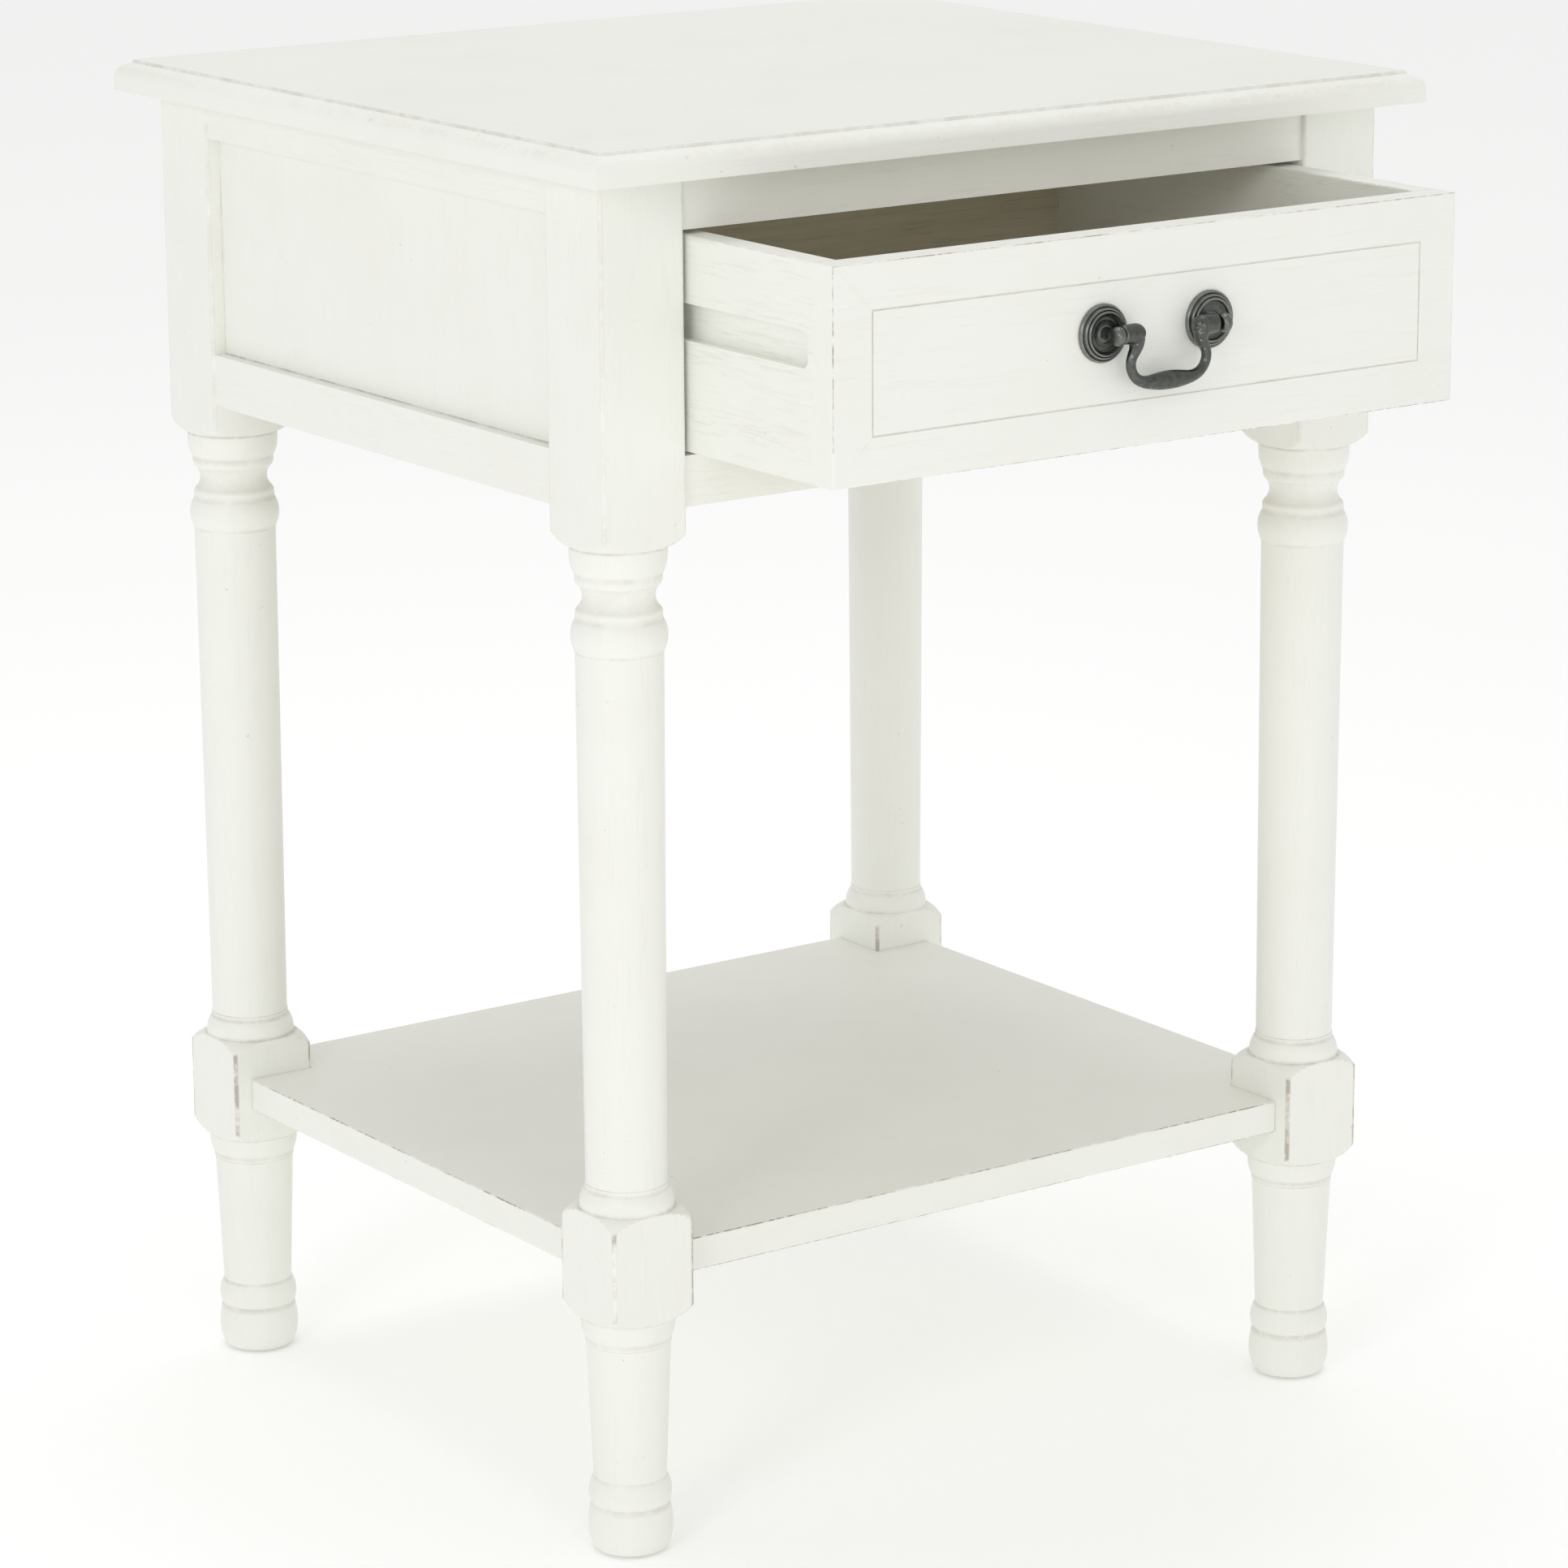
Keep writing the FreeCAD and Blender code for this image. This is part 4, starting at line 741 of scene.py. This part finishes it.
def splinePoint(rows, position):
    index = min(int(position), len(rows) - 2)
    t = position - index
    p0, p1 = rows[max(index - 1, 0)], rows[index]
    p2, p3 = rows[index + 1], rows[min(index + 2, len(rows) - 1)]
    return [
        0.5 * (
            2 * b + (c - a) * t
            + (2 * a - 5 * b + 4 * c - d) * t * t
            + (3 * b - a - 3 * c + d) * t ** 3
        )
        for a, b, c, d in zip(p0, p1, p2, p3)
    ]


def addTube(shape, rings):
    loops = [[shape.verts.new(point) for point in ring] for ring in rings]
    count = len(loops[0])
    for low, high in zip(loops, loops[1:]):
        for index in range(count):
            after = (index + 1) % count
            shape.faces.new((low[index], low[after], high[after], high[index]))
    shape.faces.new(loops[0][::-1])
    shape.faces.new(loops[-1])


def makeBail(look):
    half = look["line"]
    rows = [(-x, drop, tall, deep) for x, drop, tall, deep in half[:0:-1]] + list(half)
    steps = (len(rows) - 1) * look["between"]
    line = [splinePoint(rows, step / look["between"]) for step in range(steps + 1)]
    pivot = Vector((0, face - pullShape["pivotOut"] * mm, pullZ))
    turns = [2 * math.pi * step / look["around"] for step in range(look["around"])]
    rings = []
    for index, (x, drop, tall, deep) in enumerate(line):
        before, after = line[max(index - 1, 0)], line[min(index + 1, steps)]
        along = Vector((after[0] - before[0], 0, before[1] - after[1])).normalized()
        across = Vector((0, 1, 0)).cross(along)
        centre = pivot + Vector((x, 0, -drop)) * mm
        rings.append([
            centre + (across * tall * math.cos(turn) + Vector((0, deep * math.sin(turn), 0))) * mm
            for turn in turns
        ])
    shape = bmesh.new()
    addTube(shape, rings)
    for side in (-1, 1):
        addTube(shape, [
            [
                pivot + Vector((side * out, radius * math.cos(turn), radius * math.sin(turn))) * mm
                for turn in turns
            ]
            for out, radius in look["knuckle"]
        ])
    bmesh.ops.recalc_face_normals(shape, faces=shape.faces)
    mesh = bpy.data.meshes.new("bailBar")
    shape.to_mesh(mesh)
    shape.free()
    bar = bpy.data.objects.new("bailBar", mesh)
    bpy.context.scene.collection.objects.link(bar)
    remesh = bar.modifiers.new("cast", "REMESH")
    remesh.mode = "VOXEL"
    remesh.voxel_size = look["voxel"] * mm
    smooth = bar.modifiers.new("fettled", "SMOOTH")
    smooth.factor = 0.5
    smooth.iterations = look["rounds"]
    graph = bpy.context.evaluated_depsgraph_get()
    cast = bpy.data.meshes.new_from_object(bar.evaluated_get(graph))
    bpy.data.objects.remove(bar)
    # the pins go in after the casting is smoothed, so they keep their size
    shape = bmesh.new()
    shape.from_mesh(cast)
    radius, root, tip, bevel = look["pin"]
    ends = ((root, radius), (tip - bevel, radius), (tip, radius - bevel))
    for side in (-1, 1):
        addTube(shape, [
            [
                pivot + Vector((side * out, size * math.cos(turn), size * math.sin(turn))) * mm
                for turn in turns
            ]
            for out, size in ends
        ])
    shape.to_mesh(cast)
    shape.free()
    cast.materials.clear()
    cast.materials.append(pullMetal)
    piece = settle("bailHandle", cast, 60)
    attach(piece, "bail")
    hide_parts("bail")


makePosts(pullShape)
makeBail(bailShape)
print("pull made")


# floor, light and camera

stageLook = {
    "floor": colour(0.975, 0.975, 0.97),
    "world": colour(1.0, 1.0, 1.0),
    "worldStrength": 0.74,
    "glow": 0.15,
}


def makeStage(look):
    shape = bmesh.new()
    bmesh.ops.create_grid(shape, x_segments=8, y_segments=8, size=30)
    mesh = bpy.data.meshes.new("studioFloor")
    shape.to_mesh(mesh)
    shape.free()
    floor = bpy.data.objects.new("studioFloor", mesh)
    bpy.context.scene.collection.objects.link(floor)
    finish = Finish("studioPaper")
    cloud = finish.noise(finish.place(), 3.0, 2.0, 0.5)
    finish.set(Base_Color=finish.blend(cloud * 0.05, look["floor"], colour(0.94, 0.94, 0.93)))
    finish.set(Roughness=0.9, Emission_Color=colour(1.0, 1.0, 1.0), Emission_Strength=look["glow"])
    mesh.materials.append(finish.material)
    world = bpy.data.worlds.new("softRoom")
    bpy.context.scene.world = world
    world.use_nodes = True
    background = world.node_tree.nodes["Background"]
    background.inputs["Color"].default_value = look["world"]
    background.inputs["Strength"].default_value = look["worldStrength"]


lamps = {
    # place, aim, size, watts
    "keyBox": ((-2.6, -1.4, 1.4), (0, 0, 0.35), 0.8, 10),
    "frontBox": ((-0.7, -2.7, 0.7), (0, 0, 0.58), 0.9, 4.5),
    "topBox": ((0.2, 0.4, 3.0), (0, 0, 0.3), 1.6, 14),
}


def makeLamps(table):
    for name, (place, aim, size, watts) in table.items():
        data = bpy.data.lights.new(name, "AREA")
        data.shape = "SQUARE"
        data.size = size
        data.energy = watts
        lamp = bpy.data.objects.new(name, data)
        bpy.context.scene.collection.objects.link(lamp)
        lamp.location = place
        lamp.rotation_euler = (Vector(aim) - Vector(place)).to_track_quat("-Z", "Y").to_euler()


viewpoint = {
    "place": (-1.5129, -2.1511, 0.9677),  # from the middle of the table's plan, on the floor
    "yaw": 35.31,
    "pitch": 14.4,
    "roll": -0.33,
    "lens": 128.99,
}


def makeCamera(look):
    yaw, pitch, roll = (math.radians(look[name]) for name in ("yaw", "pitch", "roll"))
    level = math.cos(pitch)
    forward = Vector((math.sin(yaw) * level, math.cos(yaw) * level, -math.sin(pitch)))
    right = Vector((math.cos(yaw), -math.sin(yaw), 0))
    up = right.cross(forward)
    right, up = (
        right * math.cos(roll) + up * math.sin(roll), up * math.cos(roll) - right * math.sin(roll)
    )
    turn = Matrix((right, up, -forward)).transposed().to_4x4()
    data = bpy.data.cameras.new("studioCamera")
    data.sensor_width = 36
    data.lens = look["lens"]
    data.clip_end = 60
    camera = bpy.data.objects.new("studioCamera", data)
    bpy.context.scene.collection.objects.link(camera)
    camera.matrix_world = Matrix.Translation(Vector(look["place"]) + Vector((0, shift, 0))) @ turn
    bpy.context.scene.camera = camera


makeStage(stageLook)
makeLamps(lamps)
makeCamera(viewpoint)
bpy.context.scene.view_settings.view_transform = "Standard"
print("studio ready")
